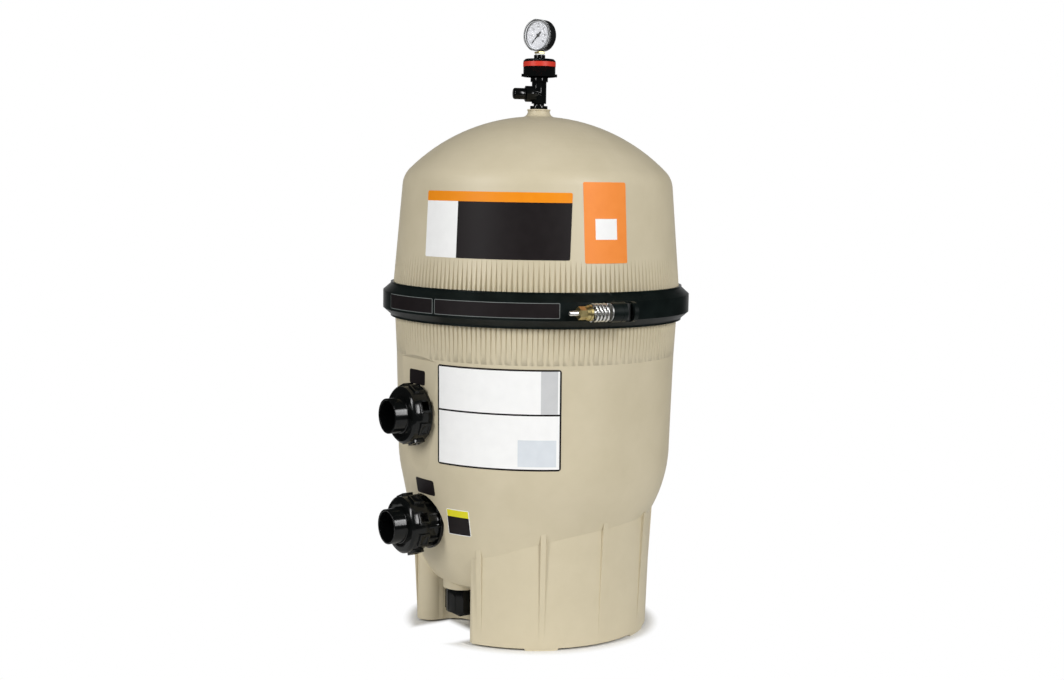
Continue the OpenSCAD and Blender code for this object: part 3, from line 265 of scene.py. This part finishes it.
def sticker(name, carrier, body, materials, turn, height, radius, corner, columns=(), rows=(),
            paint=lambda *place: 0):
    """A sticker between two angles and two heights on a node: cut flat along the lines of its print,
    then wrapped on to the surface that it meets. A line below nought counts from the far edge."""
    width, tall = radians(turn[1] - turn[0]) * radius, height[1] - height[0]
    mid_turn = radians(turn[0] + turn[1]) / 2
    mesh = nodes[carrier].data
    wall = BVHTree.FromPolygons([v.co for v in mesh.vertices], [p.vertices for p in mesh.polygons])

    def meet(level, angle):
        """Where a ray from outside meets the node, and the way its surface faces there."""
        return wall.ray_cast(level * UP + OUTSIDE * outward(angle), -outward(angle))[:2]

    bm = bmesh.new()
    bmesh.ops.create_grid(bm, x_segments=1, y_segments=1, size=0.5)
    bmesh.ops.translate(bm, verts=bm.verts, vec=(0.5, 0.5, 0))
    bmesh.ops.scale(bm, verts=bm.verts, vec=(width, tall, 1))
    bmesh.ops.bevel(bm, geom=bm.verts[:], offset=corner, segments=6, profile=0.5, affect="VERTICES",
                    material=-1)
    for axis, size, lines in ((Vector((1, 0, 0)), width, columns), (Vector((0, 1, 0)), tall, rows)):
        bends = round(size / BEND)
        cuts = [line if line > 0 else size + line for line in lines]
        for cut in cuts + [size * i / bends for i in range(1, bends)]:
            bmesh.ops.bisect_plane(bm, geom=bm.verts[:] + bm.edges[:] + bm.faces[:], dist=1e-6,
                                   plane_co=axis * cut, plane_no=axis)
    for face in bm.faces:
        middle = face.calc_center_median()
        face.material_index = paint(middle.x, middle.y, width, tall)
    facing = {}
    for v in bm.verts:
        level = height[0] + v.co.y
        seat, _ = meet(level, mid_turn)
        place, normal = meet(level, mid_turn + (v.co.x - width / 2) / seat.xy.length)
        v.co = place - STICKER_SUNK * normal
        facing[tuple(v.co)] = normal
    for v in grow(bm):
        v.co += (STICKER_SUNK + STICKER_PROUD) * facing[tuple(v.co)]
    bmesh.ops.recalc_face_normals(bm, faces=bm.faces[:])
    made = finish_mesh(name, bm, materials)
    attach(made, body)


# Printed vinyl gives flat, even colour with a dull satin shine, so it looks drier than the mouldings.
vinyl_white = even_finish("white_printed_vinyl", "#f1f1f0", "#f9f9f8", 0.45, 0.03, 0.2)
vinyl_black = even_finish("black_printed_vinyl", "#191516", "#221d1e", 0.5, 0.03, 0.15)
vinyl_amber = even_finish("amber_printed_vinyl", "#ec8912", "#f2941b", 0.45, 0.03, 0.15)
vinyl_orange = even_finish("orange_printed_vinyl", "#f08a3a", "#f79545", 0.45, 0.03, 0.15)
vinyl_silver = even_finish("silver_grey_printed_vinyl", "#c3c4c5", "#d0d1d2", 0.45, 0.03, 0.2)
vinyl_pale = even_finish("pale_blue_printed_vinyl", "#d3d9df", "#dfe4e9", 0.45, 0.03, 0.2)
vinyl_yellow = even_finish("yellow_printed_vinyl", "#d8cf22", "#e6dd35", 0.45, 0.03, 0.15)


def framed(x, y, width, tall, edge):
    """True on the border of a print."""
    return min(x, y, width - x, tall - y) < edge


# On the lid's front: black, with an amber strip along the top and a white block on the left.
STRIP_H, BLOCK_W = 0.0165, 0.0705


def lid_print(x, y, width, tall):
    """The material's place in the list at a point of the lid's front sticker."""
    if y > tall - STRIP_H:
        return 1
    return 2 if x < BLOCK_W else 0


sticker("lid_sticker", "lid_shell", "lid", [vinyl_black, vinyl_amber, vinyl_white], turn=(6.0, 68.3),
        height=(0.667, 0.777), radius=0.245, corner=0.003, columns=[BLOCK_W], rows=[-STRIP_H],
        paint=lid_print)

# On the lid's side: orange, with a white box.
BOX_LEFT, BOX_RIGHT, BOX_LOW, BOX_TOP = 0.020, 0.0605, 0.039, 0.073


def side_print(x, y, width, tall):
    """The material's place in the list at a point of the lid's side sticker."""
    return int(BOX_LEFT < x < BOX_RIGHT and BOX_LOW < y < BOX_TOP)


sticker("lid_side_sticker", "lid_shell", "lid", [vinyl_orange, vinyl_white], turn=(73.3, 92.2),
        height=(0.662, 0.795), radius=0.244, corner=0.003, columns=[BOX_LEFT, BOX_RIGHT],
        rows=[BOX_LOW, BOX_TOP], paint=side_print)

# On the tank's wall: white with a black border and a black rule, a grey block above the rule and a
# pale one below it.
EDGE, RULE_H, SIDE_LEFT, SIDE_RIGHT = 0.003, 0.0925, 0.1885, 0.2168
PANEL_LEFT, PANEL_RIGHT, PANEL_LOW, PANEL_TOP = 0.1506, 0.2148, 0.007, 0.052


def wall_print(x, y, width, tall):
    """The material's place in the list at a point of the wall's sticker."""
    if framed(x, y, width, tall, EDGE) or 0 < y - RULE_H < EDGE:
        return 1
    if SIDE_LEFT < x < SIDE_RIGHT and y > RULE_H:
        return 3
    return 2 if PANEL_LEFT < x < PANEL_RIGHT and PANEL_LOW < y < PANEL_TOP else 0


sticker("wall_sticker", "tank_shell", "tank", [vinyl_white, vinyl_black, vinyl_pale, vinyl_silver],
        turn=(13.6, 65.6), height=(0.317, 0.487), radius=0.2455, corner=0.005,
        columns=[EDGE, -EDGE, SIDE_LEFT, SIDE_RIGHT, PANEL_LEFT, PANEL_RIGHT],
        rows=[EDGE, -EDGE, RULE_H, RULE_H + EDGE, PANEL_LOW, PANEL_TOP], paint=wall_print)

# Over the two unions: plain black.
for name, turn, height, radius in (("inlet_sticker", (-7.5, 4.4), (0.445, 0.470), 0.2425),
                                   ("outlet_sticker", (-3.3, 9.6), (0.256, 0.283), 0.237)):
    sticker(name, "tank_shell", "tank", [vinyl_black], turn, height, radius, corner=0.004)

# Beside the drain: black under a yellow block, with a thin white border.
THIN, YELLOW_H = 0.001, 0.013


def drain_print(x, y, width, tall):
    """The material's place in the list at a point of the drain's sticker."""
    if framed(x, y, width, tall, THIN):
        return 2
    return 1 if y > tall - YELLOW_H else 0


sticker("drain_sticker", "tank_shell", "tank", [vinyl_black, vinyl_yellow, vinyl_white],
        turn=(15.4, 27.0), height=(0.1935, 0.239), radius=0.228, corner=0.002,
        columns=[THIN, -THIN], rows=[THIN, -THIN, -YELLOW_H], paint=drain_print)

# Clamp: a V-band moulded in dark glass-filled nylon, with a closed groove that holds both flanges.
# It is drawn tight by a T-bolt of plated steel with a spring, a brass flanged nut and two washers.

# Moulded nylon gives a nearly black slate colour with a broad, dull sheen, smeared by handling. Its
# real grain is about 0.3 mm across and is drawn coarser, so that it shows.
SMEAR_MM, NYLON_GRAIN_MM = 35.7, 1.4
dark_nylon, tree = new_material("dark_moulded_nylon")
where = add(tree, "TexCoord").outputs["Object"]
smear = add(tree, "TexNoise", {"Vector": where, "Scale": 1000 / SMEAR_MM,
                               "Detail": 5.0}).outputs["Fac"]
tone = add(tree, "ValToRGB", {"Fac": smear})
tone.color_ramp.elements[0].position, tone.color_ramp.elements[1].position = 0.35, 0.75
tone.color_ramp.elements[0].color = linear("#0c1211")
tone.color_ramp.elements[1].color = linear("#151c1b")
gloss = add(tree, "MapRange", {"Value": smear, "To Min": 0.26, "To Max": 0.42}).outputs["Result"]
grain = add(tree, "TexNoise", {"Vector": where, "Scale": 1000 / NYLON_GRAIN_MM,
                               "Detail": 2.0}).outputs["Fac"]
pitted = add(tree, "Bump", {"Height": grain, "Strength": 0.12, "Distance": 0.0003}).outputs["Normal"]
skin = add(tree, "BsdfPrincipled", {"Base Color": tone.outputs["Color"], "Roughness": gloss,
                                    "IOR": 1.53, "Specular IOR Level": 0.14,
                                    "Normal": pitted}).outputs[0]
add(tree, "OutputMaterial", {"Surface": skin})
dress(dark_nylon, "clamp_ring")

# The band's two stickers are black with a thin grey border.
BAND_EDGE = 0.0009
vinyl_grey = even_finish("grey_printed_vinyl", "#747977", "#848a88", 0.45, 0.03, 0.15)


def band_print(x, y, width, tall):
    """The material's place in the list at a point of the band's stickers."""
    return int(framed(x, y, width, tall, BAND_EDGE))


for name, turn in (("clamp_sticker_left", (-11.2, 16.1)), ("clamp_sticker_right", (17.0, 63.3))):
    sticker(name, "clamp_ring", "lid", [vinyl_black, vinyl_grey], turn, height=(0.5736, 0.599),
            radius=0.273, corner=0.002, columns=[BAND_EDGE, -BAND_EDGE], rows=[BAND_EDGE, -BAND_EDGE],
            paint=band_print)


# The split in the band is closed by a tongue of the same nylon, a little below the band's face. It is
# drawn from the band's own end face, made slightly smaller.
def sideways(turn):
    """The way round the tank's axis at an angle."""
    return Vector((cos(turn), sin(turn), 0))


BOLT_AWAY, BOLT_HEIGHT, SPLIT_W, TONGUE_SHARE = 0.2885, 0.585, 0.004, 0.97
bolt_turn = radians(83)
bolt_foot = BOLT_AWAY * outward(bolt_turn) + BOLT_HEIGHT * UP
along_bolt = sideways(bolt_turn)


def down_bolt(place):
    """How far a place lies along the bolt, from the split towards the cross bar."""
    return (place - bolt_foot).dot(along_bolt)


def copy_of(name):
    """A merged copy of a CAD node's triangles, to work on."""
    bm = bmesh.new()
    bm.from_mesh(nodes[name].data)
    bmesh.ops.remove_doubles(bm, verts=bm.verts[:], dist=1e-6)
    return bm


def ends_band(face):
    """True on the band's end face on the nut's side of the split."""
    off = down_bolt(face.calc_center_median()) + SPLIT_W / 2
    return abs(off) < 1e-5 and abs(face.normal.dot(along_bolt)) > 0.999


bm = copy_of("clamp_ring")
bmesh.ops.delete(bm, geom=[f for f in bm.faces if not ends_band(f)], context="FACES")
middle = sum((v.co for v in bm.verts), Vector()) / len(bm.verts)
bmesh.ops.scale(bm, verts=bm.verts[:], vec=(TONGUE_SHARE,) * 3, space=Matrix.Translation(-middle))
bmesh.ops.translate(bm, verts=grow(bm), vec=SPLIT_W * along_bolt)
bmesh.ops.recalc_face_normals(bm, faces=bm.faces[:])
tongue = finish_mesh("clamp_tongue", bm, [dark_nylon])
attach(tongue, "lid")

# Zinc plating gives a pale, slightly mottled mirror, broken by fine drawing marks. The real marks are
# about 0.1 mm apart and are drawn coarser, so that they show.
ZINC_MARK_MM, ZINC_DULL_MM = 1.1, 7.7
zinc_steel, tree = new_material("bright_zinc_plated_steel")
where = add(tree, "TexCoord").outputs["Object"]
drawn = add(tree, "TexNoise", {"Vector": where, "Scale": 1000 / ZINC_MARK_MM,
                               "Detail": 3.0}).outputs["Fac"]
gloss = add(tree, "MapRange", {"Value": drawn, "To Min": 0.26, "To Max": 0.4}).outputs["Result"]
dull = add(tree, "TexNoise", {"Vector": where, "Scale": 1000 / ZINC_DULL_MM,
                              "Detail": 4.0}).outputs["Fac"]
tone = add(tree, "ValToRGB", {"Fac": dull})
tone.color_ramp.elements[0].color = linear("#cfcfcd")
tone.color_ramp.elements[1].color = linear("#efefed")
scored = add(tree, "Bump", {"Height": drawn, "Strength": 0.1, "Distance": 0.0002}).outputs["Normal"]
metal = add(tree, "BsdfPrincipled", {"Base Color": tone.outputs["Color"], "Metallic": 1.0,
                                     "Roughness": gloss, "Normal": scored}).outputs[0]
add(tree, "OutputMaterial", {"Surface": metal})
dress(zinc_steel, "clamp_lug_washer")

# Triangles within half a degree of flat are joined first. Then edges that turn by more than 35 degrees
# are rounded, while the facets of round faces stay.
SHARP_FROM, FLAT_UNDER = 35, 0.5


def soften(node, body, material, radius, segments=2, chosen=lambda edge: True,
           trim=lambda bm: None):
    """A copy of a CAD node with its sharp edges rounded, which stands for the node."""
    bm = copy_of(node)
    bmesh.ops.dissolve_limit(bm, angle_limit=radians(FLAT_UNDER), verts=bm.verts[:], edges=bm.edges[:])
    trim(bm)
    edges = [e for e in bm.edges if len(e.link_faces) == 2
             and e.calc_face_angle(0) > radians(SHARP_FROM) and chosen(e)]
    bmesh.ops.bevel(bm, geom=edges, offset=radius, offset_type="OFFSET", segments=segments, profile=0.5,
                    affect="EDGES", material=-1, clamp_overlap=True, miter_outer="ARC")
    made = finish_mesh(node + "_rounded", bm, [material], smooth_angle=40)
    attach(made, body)
    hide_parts(node)
    return made


# The bolt is of plated steel, with a rounded tip. Its cross bar, behind the second lug, is drawn a flat
# charcoal grey beside the bright shank: painted shade for the lug's shadow, not a finish of the steel.
shade_painted_steel = even_finish("charcoal_painted_shade_steel", "#1b1d1d", "#2a2c2c", 0.45, 0.1)
tip = min(down_bolt(v.co) for v in nodes["clamp_bolt"].data.vertices)
bolt = soften("clamp_bolt", "lid", zinc_steel, 0.0025, segments=5,
              chosen=lambda edge: max(down_bolt(v.co) for v in edge.verts) < tip + 1e-5)
bolt.data.materials.append(shade_painted_steel)
# The faces past the split take the painted shade.
for polygon in bolt.data.polygons:
    polygon.material_index = int(down_bolt(polygon.center) > SPLIT_W)

# The spring is wound from round plated wire and presses its end turns on the two washers.
SPRING_START, SPRING_LEN, SPRING_TURNS, COIL_R, WIRE_R = -0.0535, 0.034, 4.5, 0.0135, 0.002
TURN_STEPS, WIRE_SIDES = 36, 14
steps = round(SPRING_TURNS * TURN_STEPS)
bm = bmesh.new()
bmesh.ops.create_circle(bm, segments=WIRE_SIDES, radius=WIRE_R)
bmesh.ops.rotate(bm, verts=bm.verts[:], matrix=Matrix.Rotation(radians(90), 3, "X"))
bmesh.ops.translate(bm, verts=bm.verts[:], vec=(COIL_R, 0, WIRE_R))
bmesh.ops.spin(bm, geom=bm.verts[:] + bm.edges[:], cent=(0, 0, 0), axis=(0, 0, 1), steps=steps,
               angle=2 * pi * SPRING_TURNS, dvec=(0, 0, (SPRING_LEN - 2 * WIRE_R) / steps))
bmesh.ops.holes_fill(bm, edges=[e for e in bm.edges if e.is_boundary])
bmesh.ops.recalc_face_normals(bm, faces=bm.faces[:])
bm.transform(Matrix.Translation(bolt_foot + SPRING_START * along_bolt)
             @ Matrix.Rotation(bolt_turn, 4, "Z") @ Matrix.Rotation(radians(90), 4, "Y"))
spring = finish_mesh("clamp_spring_wound", bm, [zinc_steel])
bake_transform(spring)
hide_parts("clamp_spring")

# Turned brass gives a warm, pale yellow mirror with lathe marks and dull patches. The real marks are
# about 0.1 mm apart and are drawn coarser, so that they show.
LATHE_MM, BRASS_DULL_MM = 1.25, 6.25
turned_brass, tree = new_material("turned_brass")
where = add(tree, "TexCoord").outputs["Object"]
lathe = add(tree, "TexNoise", {"Vector": where, "Scale": 1000 / LATHE_MM,
                               "Detail": 3.0}).outputs["Fac"]
dull = add(tree, "TexNoise", {"Vector": where, "Scale": 1000 / BRASS_DULL_MM,
                              "Detail": 4.0}).outputs["Fac"]
tone = add(tree, "ValToRGB", {"Fac": dull})
tone.color_ramp.elements[0].color = linear("#a4925a")
tone.color_ramp.elements[1].color = linear("#d8c892")
gloss = add(tree, "MapRange", {"Value": lathe, "To Min": 0.22, "To Max": 0.42}).outputs["Result"]
scored = add(tree, "Bump", {"Height": lathe, "Strength": 0.12, "Distance": 0.0002}).outputs["Normal"]
metal = add(tree, "BsdfPrincipled", {"Base Color": tone.outputs["Color"], "Metallic": 1.0,
                                     "Roughness": gloss, "Normal": scored}).outputs[0]
add(tree, "OutputMaterial", {"Surface": metal})
dress(turned_brass, "clamp_nut_washer", "clamp_nut", "gauge_stem", "bourdon_tube")

# Unions and drain: moulded black PVC fittings with softly rounded edges. Locknuts hold the unions in
# the tank's wall, and hand nuts with raised lugs draw their tailpieces tight. The drain has a plug.

# Moulded PVC gives a deep black with a wet gloss, dulled in patches by hands. Its real grain is about
# 0.3 mm across and is drawn coarser, so that it shows.
HAND_MM, PVC_GRAIN_MM = 22.2, 2.4
black_pvc, tree = new_material("black_moulded_pvc")
where = add(tree, "TexCoord").outputs["Object"]
hands = add(tree, "TexNoise", {"Vector": where, "Scale": 1000 / HAND_MM, "Detail": 5.0,
                               "Roughness": 0.62}).outputs["Fac"]
tone = add(tree, "ValToRGB", {"Fac": hands})
tone.color_ramp.elements[0].color = linear("#070808")
tone.color_ramp.elements[1].color = linear("#0f1111")
gloss = add(tree, "MapRange", {"Value": hands, "To Min": 0.08, "To Max": 0.22}).outputs["Result"]
grain = add(tree, "TexNoise", {"Vector": where, "Scale": 1000 / PVC_GRAIN_MM,
                               "Detail": 2.0}).outputs["Fac"]
pitted = add(tree, "Bump", {"Height": grain, "Strength": 0.05, "Distance": 0.0003}).outputs["Normal"]
skin = add(tree, "BsdfPrincipled", {"Base Color": tone.outputs["Color"], "Roughness": gloss,
                                    "IOR": 1.53, "Specular IOR Level": 0.25,
                                    "Normal": pitted}).outputs[0]
add(tree, "OutputMaterial", {"Surface": skin})
dress(black_pvc, "inlet_locknut", "outlet_locknut")
for node, body, radius in (("inlet_bulkhead", "tank", 0.0012), ("outlet_bulkhead", "tank", 0.0009),
                           ("inlet_tailpiece", "inlet_tail", 0.001),
                           ("outlet_tailpiece", "outlet_tail", 0.001),
                           ("drain_fitting", "tank", 0.0008), ("drain_plug", "drain_plug", 0.0008)):
    soften(node, body, black_pvc, radius)

# The union nuts are of the same PVC and end in a smooth round rim. Their lugs stop short of it.
LUG_FROM, LUG_TO, LUG_SHORT, NUT_R = 0.022, 0.0275, 0.007, 0.049


def clear_rim(bm):
    """Draws the front ends of a union nut's lugs back along the nut's axis."""
    back = max(v.co.y for v in bm.verts)
    level = (min(v.co.z for v in bm.verts) + max(v.co.z for v in bm.verts)) / 2
    ends = [v for v in bm.verts if LUG_FROM < back - v.co.y < LUG_TO
            and Vector((v.co.x, v.co.z - level)).length > NUT_R - 1e-4]
    bmesh.ops.translate(bm, verts=ends, vec=(0, LUG_SHORT, 0))


for node, body in (("inlet_union_nut", "inlet_nut"), ("outlet_union_nut", "outlet_nut")):
    soften(node, body, black_pvc, 0.0012, trim=clear_rim)

# Nitrile rubber gives a dull grey-black with a powdery bloom, for the seals in all the joints.
BLOOM_MM = 4.5
nitrile, tree = new_material("moulded_nitrile_rubber")
where = add(tree, "TexCoord").outputs["Object"]
bloom = add(tree, "TexNoise", {"Vector": where, "Scale": 1000 / BLOOM_MM,
                               "Detail": 4.0}).outputs["Fac"]
tone = add(tree, "ValToRGB", {"Fac": bloom})
tone.color_ramp.elements[0].color = linear("#161616")
tone.color_ramp.elements[1].color = linear("#262626")
gloss = add(tree, "MapRange", {"Value": bloom, "To Min": 0.55, "To Max": 0.8}).outputs["Result"]
pitted = add(tree, "Bump", {"Height": bloom, "Strength": 0.15, "Distance": 0.0003}).outputs["Normal"]
skin = add(tree, "BsdfPrincipled", {"Base Color": tone.outputs["Color"], "Roughness": gloss,
                                    "IOR": 1.52, "Normal": pitted}).outputs[0]
add(tree, "OutputMaterial", {"Surface": skin})
dress(nitrile, "tank_seal", "inlet_gasket", "inlet_union_seal", "outlet_gasket", "outlet_union_seal",
      "drain_gasket", "drain_seal", "valve_seal", "vent_gasket")

# Cartridges and manifolds: four pleated polyester cartridges with cast polyurethane ends stand on a
# lower manifold of grey ABS and are held by an upper one. Each has a slotted white core.
CARTRIDGES = range(1, 5)

# Polyester felt gives a soft warm white with a woolly nap and no shine. The real fibres are about
# 0.02 mm thick and are drawn coarser, so that they show.
FIBRE_MM = 1.9
polyester_felt, tree = new_material("pleated_polyester_felt")
where = add(tree, "TexCoord").outputs["Object"]
fibre = add(tree, "TexNoise", {"Vector": where, "Scale": 1000 / FIBRE_MM, "Detail": 6.0,
                               "Distortion": 1.2}).outputs["Fac"]
tone = add(tree, "ValToRGB", {"Fac": fibre})
tone.color_ramp.elements[0].color = linear("#dedcd2")
tone.color_ramp.elements[1].color = linear("#f3f2ec")
woolly = add(tree, "Bump", {"Height": fibre, "Strength": 0.35, "Distance": 0.0005}).outputs["Normal"]
felt = add(tree, "BsdfPrincipled", {"Base Color": tone.outputs["Color"], "Roughness": 0.92,
                                    "Sheen Weight": 0.25, "Normal": woolly}).outputs[0]
add(tree, "OutputMaterial", {"Surface": felt})
dress(polyester_felt, *(f"cartridge_media_{i}" for i in CARTRIDGES))

# Cast polyurethane gives an even, slightly waxy blue.
blue_polyurethane = even_finish("cast_blue_polyurethane", "#32597f", "#40709d", 0.5, 0.1)
dress(blue_polyurethane, *(f"cartridge_caps_{i}" for i in CARTRIDGES))

# Moulded ABS gives a clean, even skin with a low gloss, in white for the small tubes and in grey.
white_abs = even_finish("white_moulded_abs", "#e3e2dc", "#efeee9", 0.4, 0.08)
dress(white_abs, "air_bleed_tube", "air_bleed_strainer", *(f"cartridge_core_{i}" for i in CARTRIDGES))
grey_abs = even_finish("grey_moulded_abs", "#80827f", "#90928f", 0.42, 0.08)
dress(grey_abs, "bottom_manifold", "top_manifold", "outlet_pipe", "inlet_diffuser")

# Air relief valve: a black PVC body screwed into the neck, with a capped side vent and a hand knob on
# its stem. A band of red vinyl runs round the upper part of the knob.
for node, body, radius in (("valve_body", "lid", 0.0006), ("vent_cap", "vent_cap", 0.0008),
                           ("valve_knob", "valve_knob", 0.0012), ("gauge_bushing", "lid", 0.0005)):
    soften(node, body, black_pvc, radius)
vinyl_red = even_finish("red_printed_vinyl", "#cf3526", "#e04130", 0.42, 0.03, 0.3)
KNOB_R, BAND_LOW, BAND_HIGH, BAND_T, BAND_STEPS = 0.0285, 0.996, 1.0042, 0.0005, 96
bm = bmesh.new()
bmesh.ops.create_grid(bm, x_segments=1, y_segments=1, size=0.5)
bmesh.ops.delete(bm, geom=bm.faces[:], context="FACES_ONLY")
bmesh.ops.rotate(bm, verts=bm.verts[:], matrix=Matrix.Rotation(radians(90), 3, "X"))
bmesh.ops.scale(bm, verts=bm.verts[:], vec=(BAND_T, 1, BAND_HIGH - BAND_LOW))
bmesh.ops.translate(bm, verts=bm.verts[:], vec=(KNOB_R + BAND_T / 4, 0, (BAND_LOW + BAND_HIGH) / 2))
bmesh.ops.spin(bm, geom=bm.verts[:] + bm.edges[:], cent=(0, 0, 0), axis=(0, 0, 1), angle=2 * pi,
               steps=BAND_STEPS, use_merge=True)
bmesh.ops.recalc_face_normals(bm, faces=bm.faces[:])
knob_band = finish_mesh("knob_band", bm, [vinyl_red])
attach(knob_band, "valve_knob")

# Gauge: a 2-inch dial in a pressed steel case, closed by a clear polycarbonate lens in a clear rim.
# Its brass stem is screwed into the bushing over a few turns of white PTFE tape.

# Black enamel gives a smooth, tight gloss. White enamel gives a clean, cool white with little shine.
black_enamel = even_finish("black_enamelled_steel", "#101112", "#191a1b", 0.3, 0.05)
dress(black_enamel, "gauge_case", "gauge_needle")
white_enamel = even_finish("white_enamelled_dial", "#f1f2f8", "#fafaff", 0.55, 0.04)
dress(white_enamel, "gauge_dial")

# Wound PTFE tape gives a soft, chalky white with a rough skin.
ptfe_tape = even_finish("wound_ptfe_tape", "#e8e7e2", "#f6f5f2", 0.6, 0.3)
dress(ptfe_tape, "thread_tape")

# Clear polycarbonate gives clean reflections with a trace of dust. The rays that light the dial go
# straight through it, so that the dial is lit evenly behind it.
DUST_MM = 3.3
clear_polycarbonate, tree = new_material("clear_polycarbonate")
where = add(tree, "TexCoord").outputs["Object"]
dust = add(tree, "TexNoise", {"Vector": where, "Scale": 1000 / DUST_MM,
                              "Detail": 5.0}).outputs["Fac"]
gloss = add(tree, "MapRange", {"Value": dust, "From Min": 0.5, "From Max": 0.8, "To Min": 0.0,
                               "To Max": 0.02}).outputs["Result"]
lens = add(tree, "BsdfPrincipled", {"Base Color": linear("#fbfcfc"), "Roughness": gloss, "IOR": 1.45,
                                    "Transmission Weight": 1.0}).outputs[0]
path = add(tree, "LightPath").outputs
to_dial = add(tree, "Math", {0: path["Is Shadow Ray"], 1: path["Is Diffuse Ray"]},
              operation="MAXIMUM").outputs[0]
open_way = add(tree, "BsdfTransparent").outputs[0]
pane = add(tree, "MixShader", {0: to_dial, 1: lens, 2: open_way}).outputs[0]
add(tree, "OutputMaterial", {"Surface": pane})
dress(clear_polycarbonate, "gauge_lens", "gauge_bezel")

# The dial's print: a plain scale from nought at the lower left to 60 at the lower right. Printing ink
# gives a flat black without shine.
DIAL_FRONT, INK_T = 0.0043, 0.00012
SCALE_R, SCALE_FROM, SCALE_SWEEP = 0.0215, 225, 270
TICKS, TICKS_PER_FIGURE, LONG_TICK, SHORT_TICK = 30, 5, (0.0036, 0.0007), (0.002, 0.00035)
FIGURES, FIGURE_STEP, FIGURE_H, FIGURE_R = TICKS // TICKS_PER_FIGURE, 10, 0.0046, 0.0148
black_ink = even_finish("black_dial_ink", "#121212", "#1c1c1c", 0.5, 0.02)
gauge_turn = radians(18)
dial_low, dial_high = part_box("gauge_dial")
dial_middle = (dial_low.z + dial_high.z) / 2 * UP + DIAL_FRONT * outward(gauge_turn)
dial_axes = Matrix((sideways(gauge_turn), UP, outward(gauge_turn))).transposed()


def scale_angle(share):
    """The angle on the dial at a share of the scale."""
    return radians(SCALE_FROM - SCALE_SWEEP * share)


bm = bmesh.new()
for i in range(TICKS + 1):
    long, wide = SHORT_TICK if i % TICKS_PER_FIGURE else LONG_TICK
    mark = bmesh.ops.create_cube(bm, size=1)["verts"]
    bmesh.ops.scale(bm, verts=mark, vec=(long, wide, INK_T))
    bmesh.ops.translate(bm, verts=mark, vec=(SCALE_R - long / 2, 0, INK_T / 4))
    bmesh.ops.rotate(bm, verts=mark, matrix=Matrix.Rotation(scale_angle(i / TICKS), 3, "Z"))
for i in range(FIGURES + 1):
    angle = scale_angle(i / FIGURES)
    figure = bpy.data.curves.new("figure", "FONT")
    figure.body, figure.size, figure.extrude = str(FIGURE_STEP * i), FIGURE_H, INK_T / 2
    figure.align_x, figure.align_y = "CENTER", "CENTER"
    holder = bpy.data.objects.new("figure", figure)
    scene.collection.objects.link(holder)
    depsgraph = bpy.context.evaluated_depsgraph_get()
    shape = bpy.data.meshes.new_from_object(holder.evaluated_get(depsgraph))
    shape.transform(Matrix.Translation((FIGURE_R * cos(angle), FIGURE_R * sin(angle), INK_T / 4)))
    bm.from_mesh(shape)
    bpy.data.objects.remove(holder)
bm.transform(Matrix.Translation(dial_middle) @ dial_axes.to_4x4())
dial_print = finish_mesh("dial_print", bm, [black_ink])
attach(dial_print, "lid")
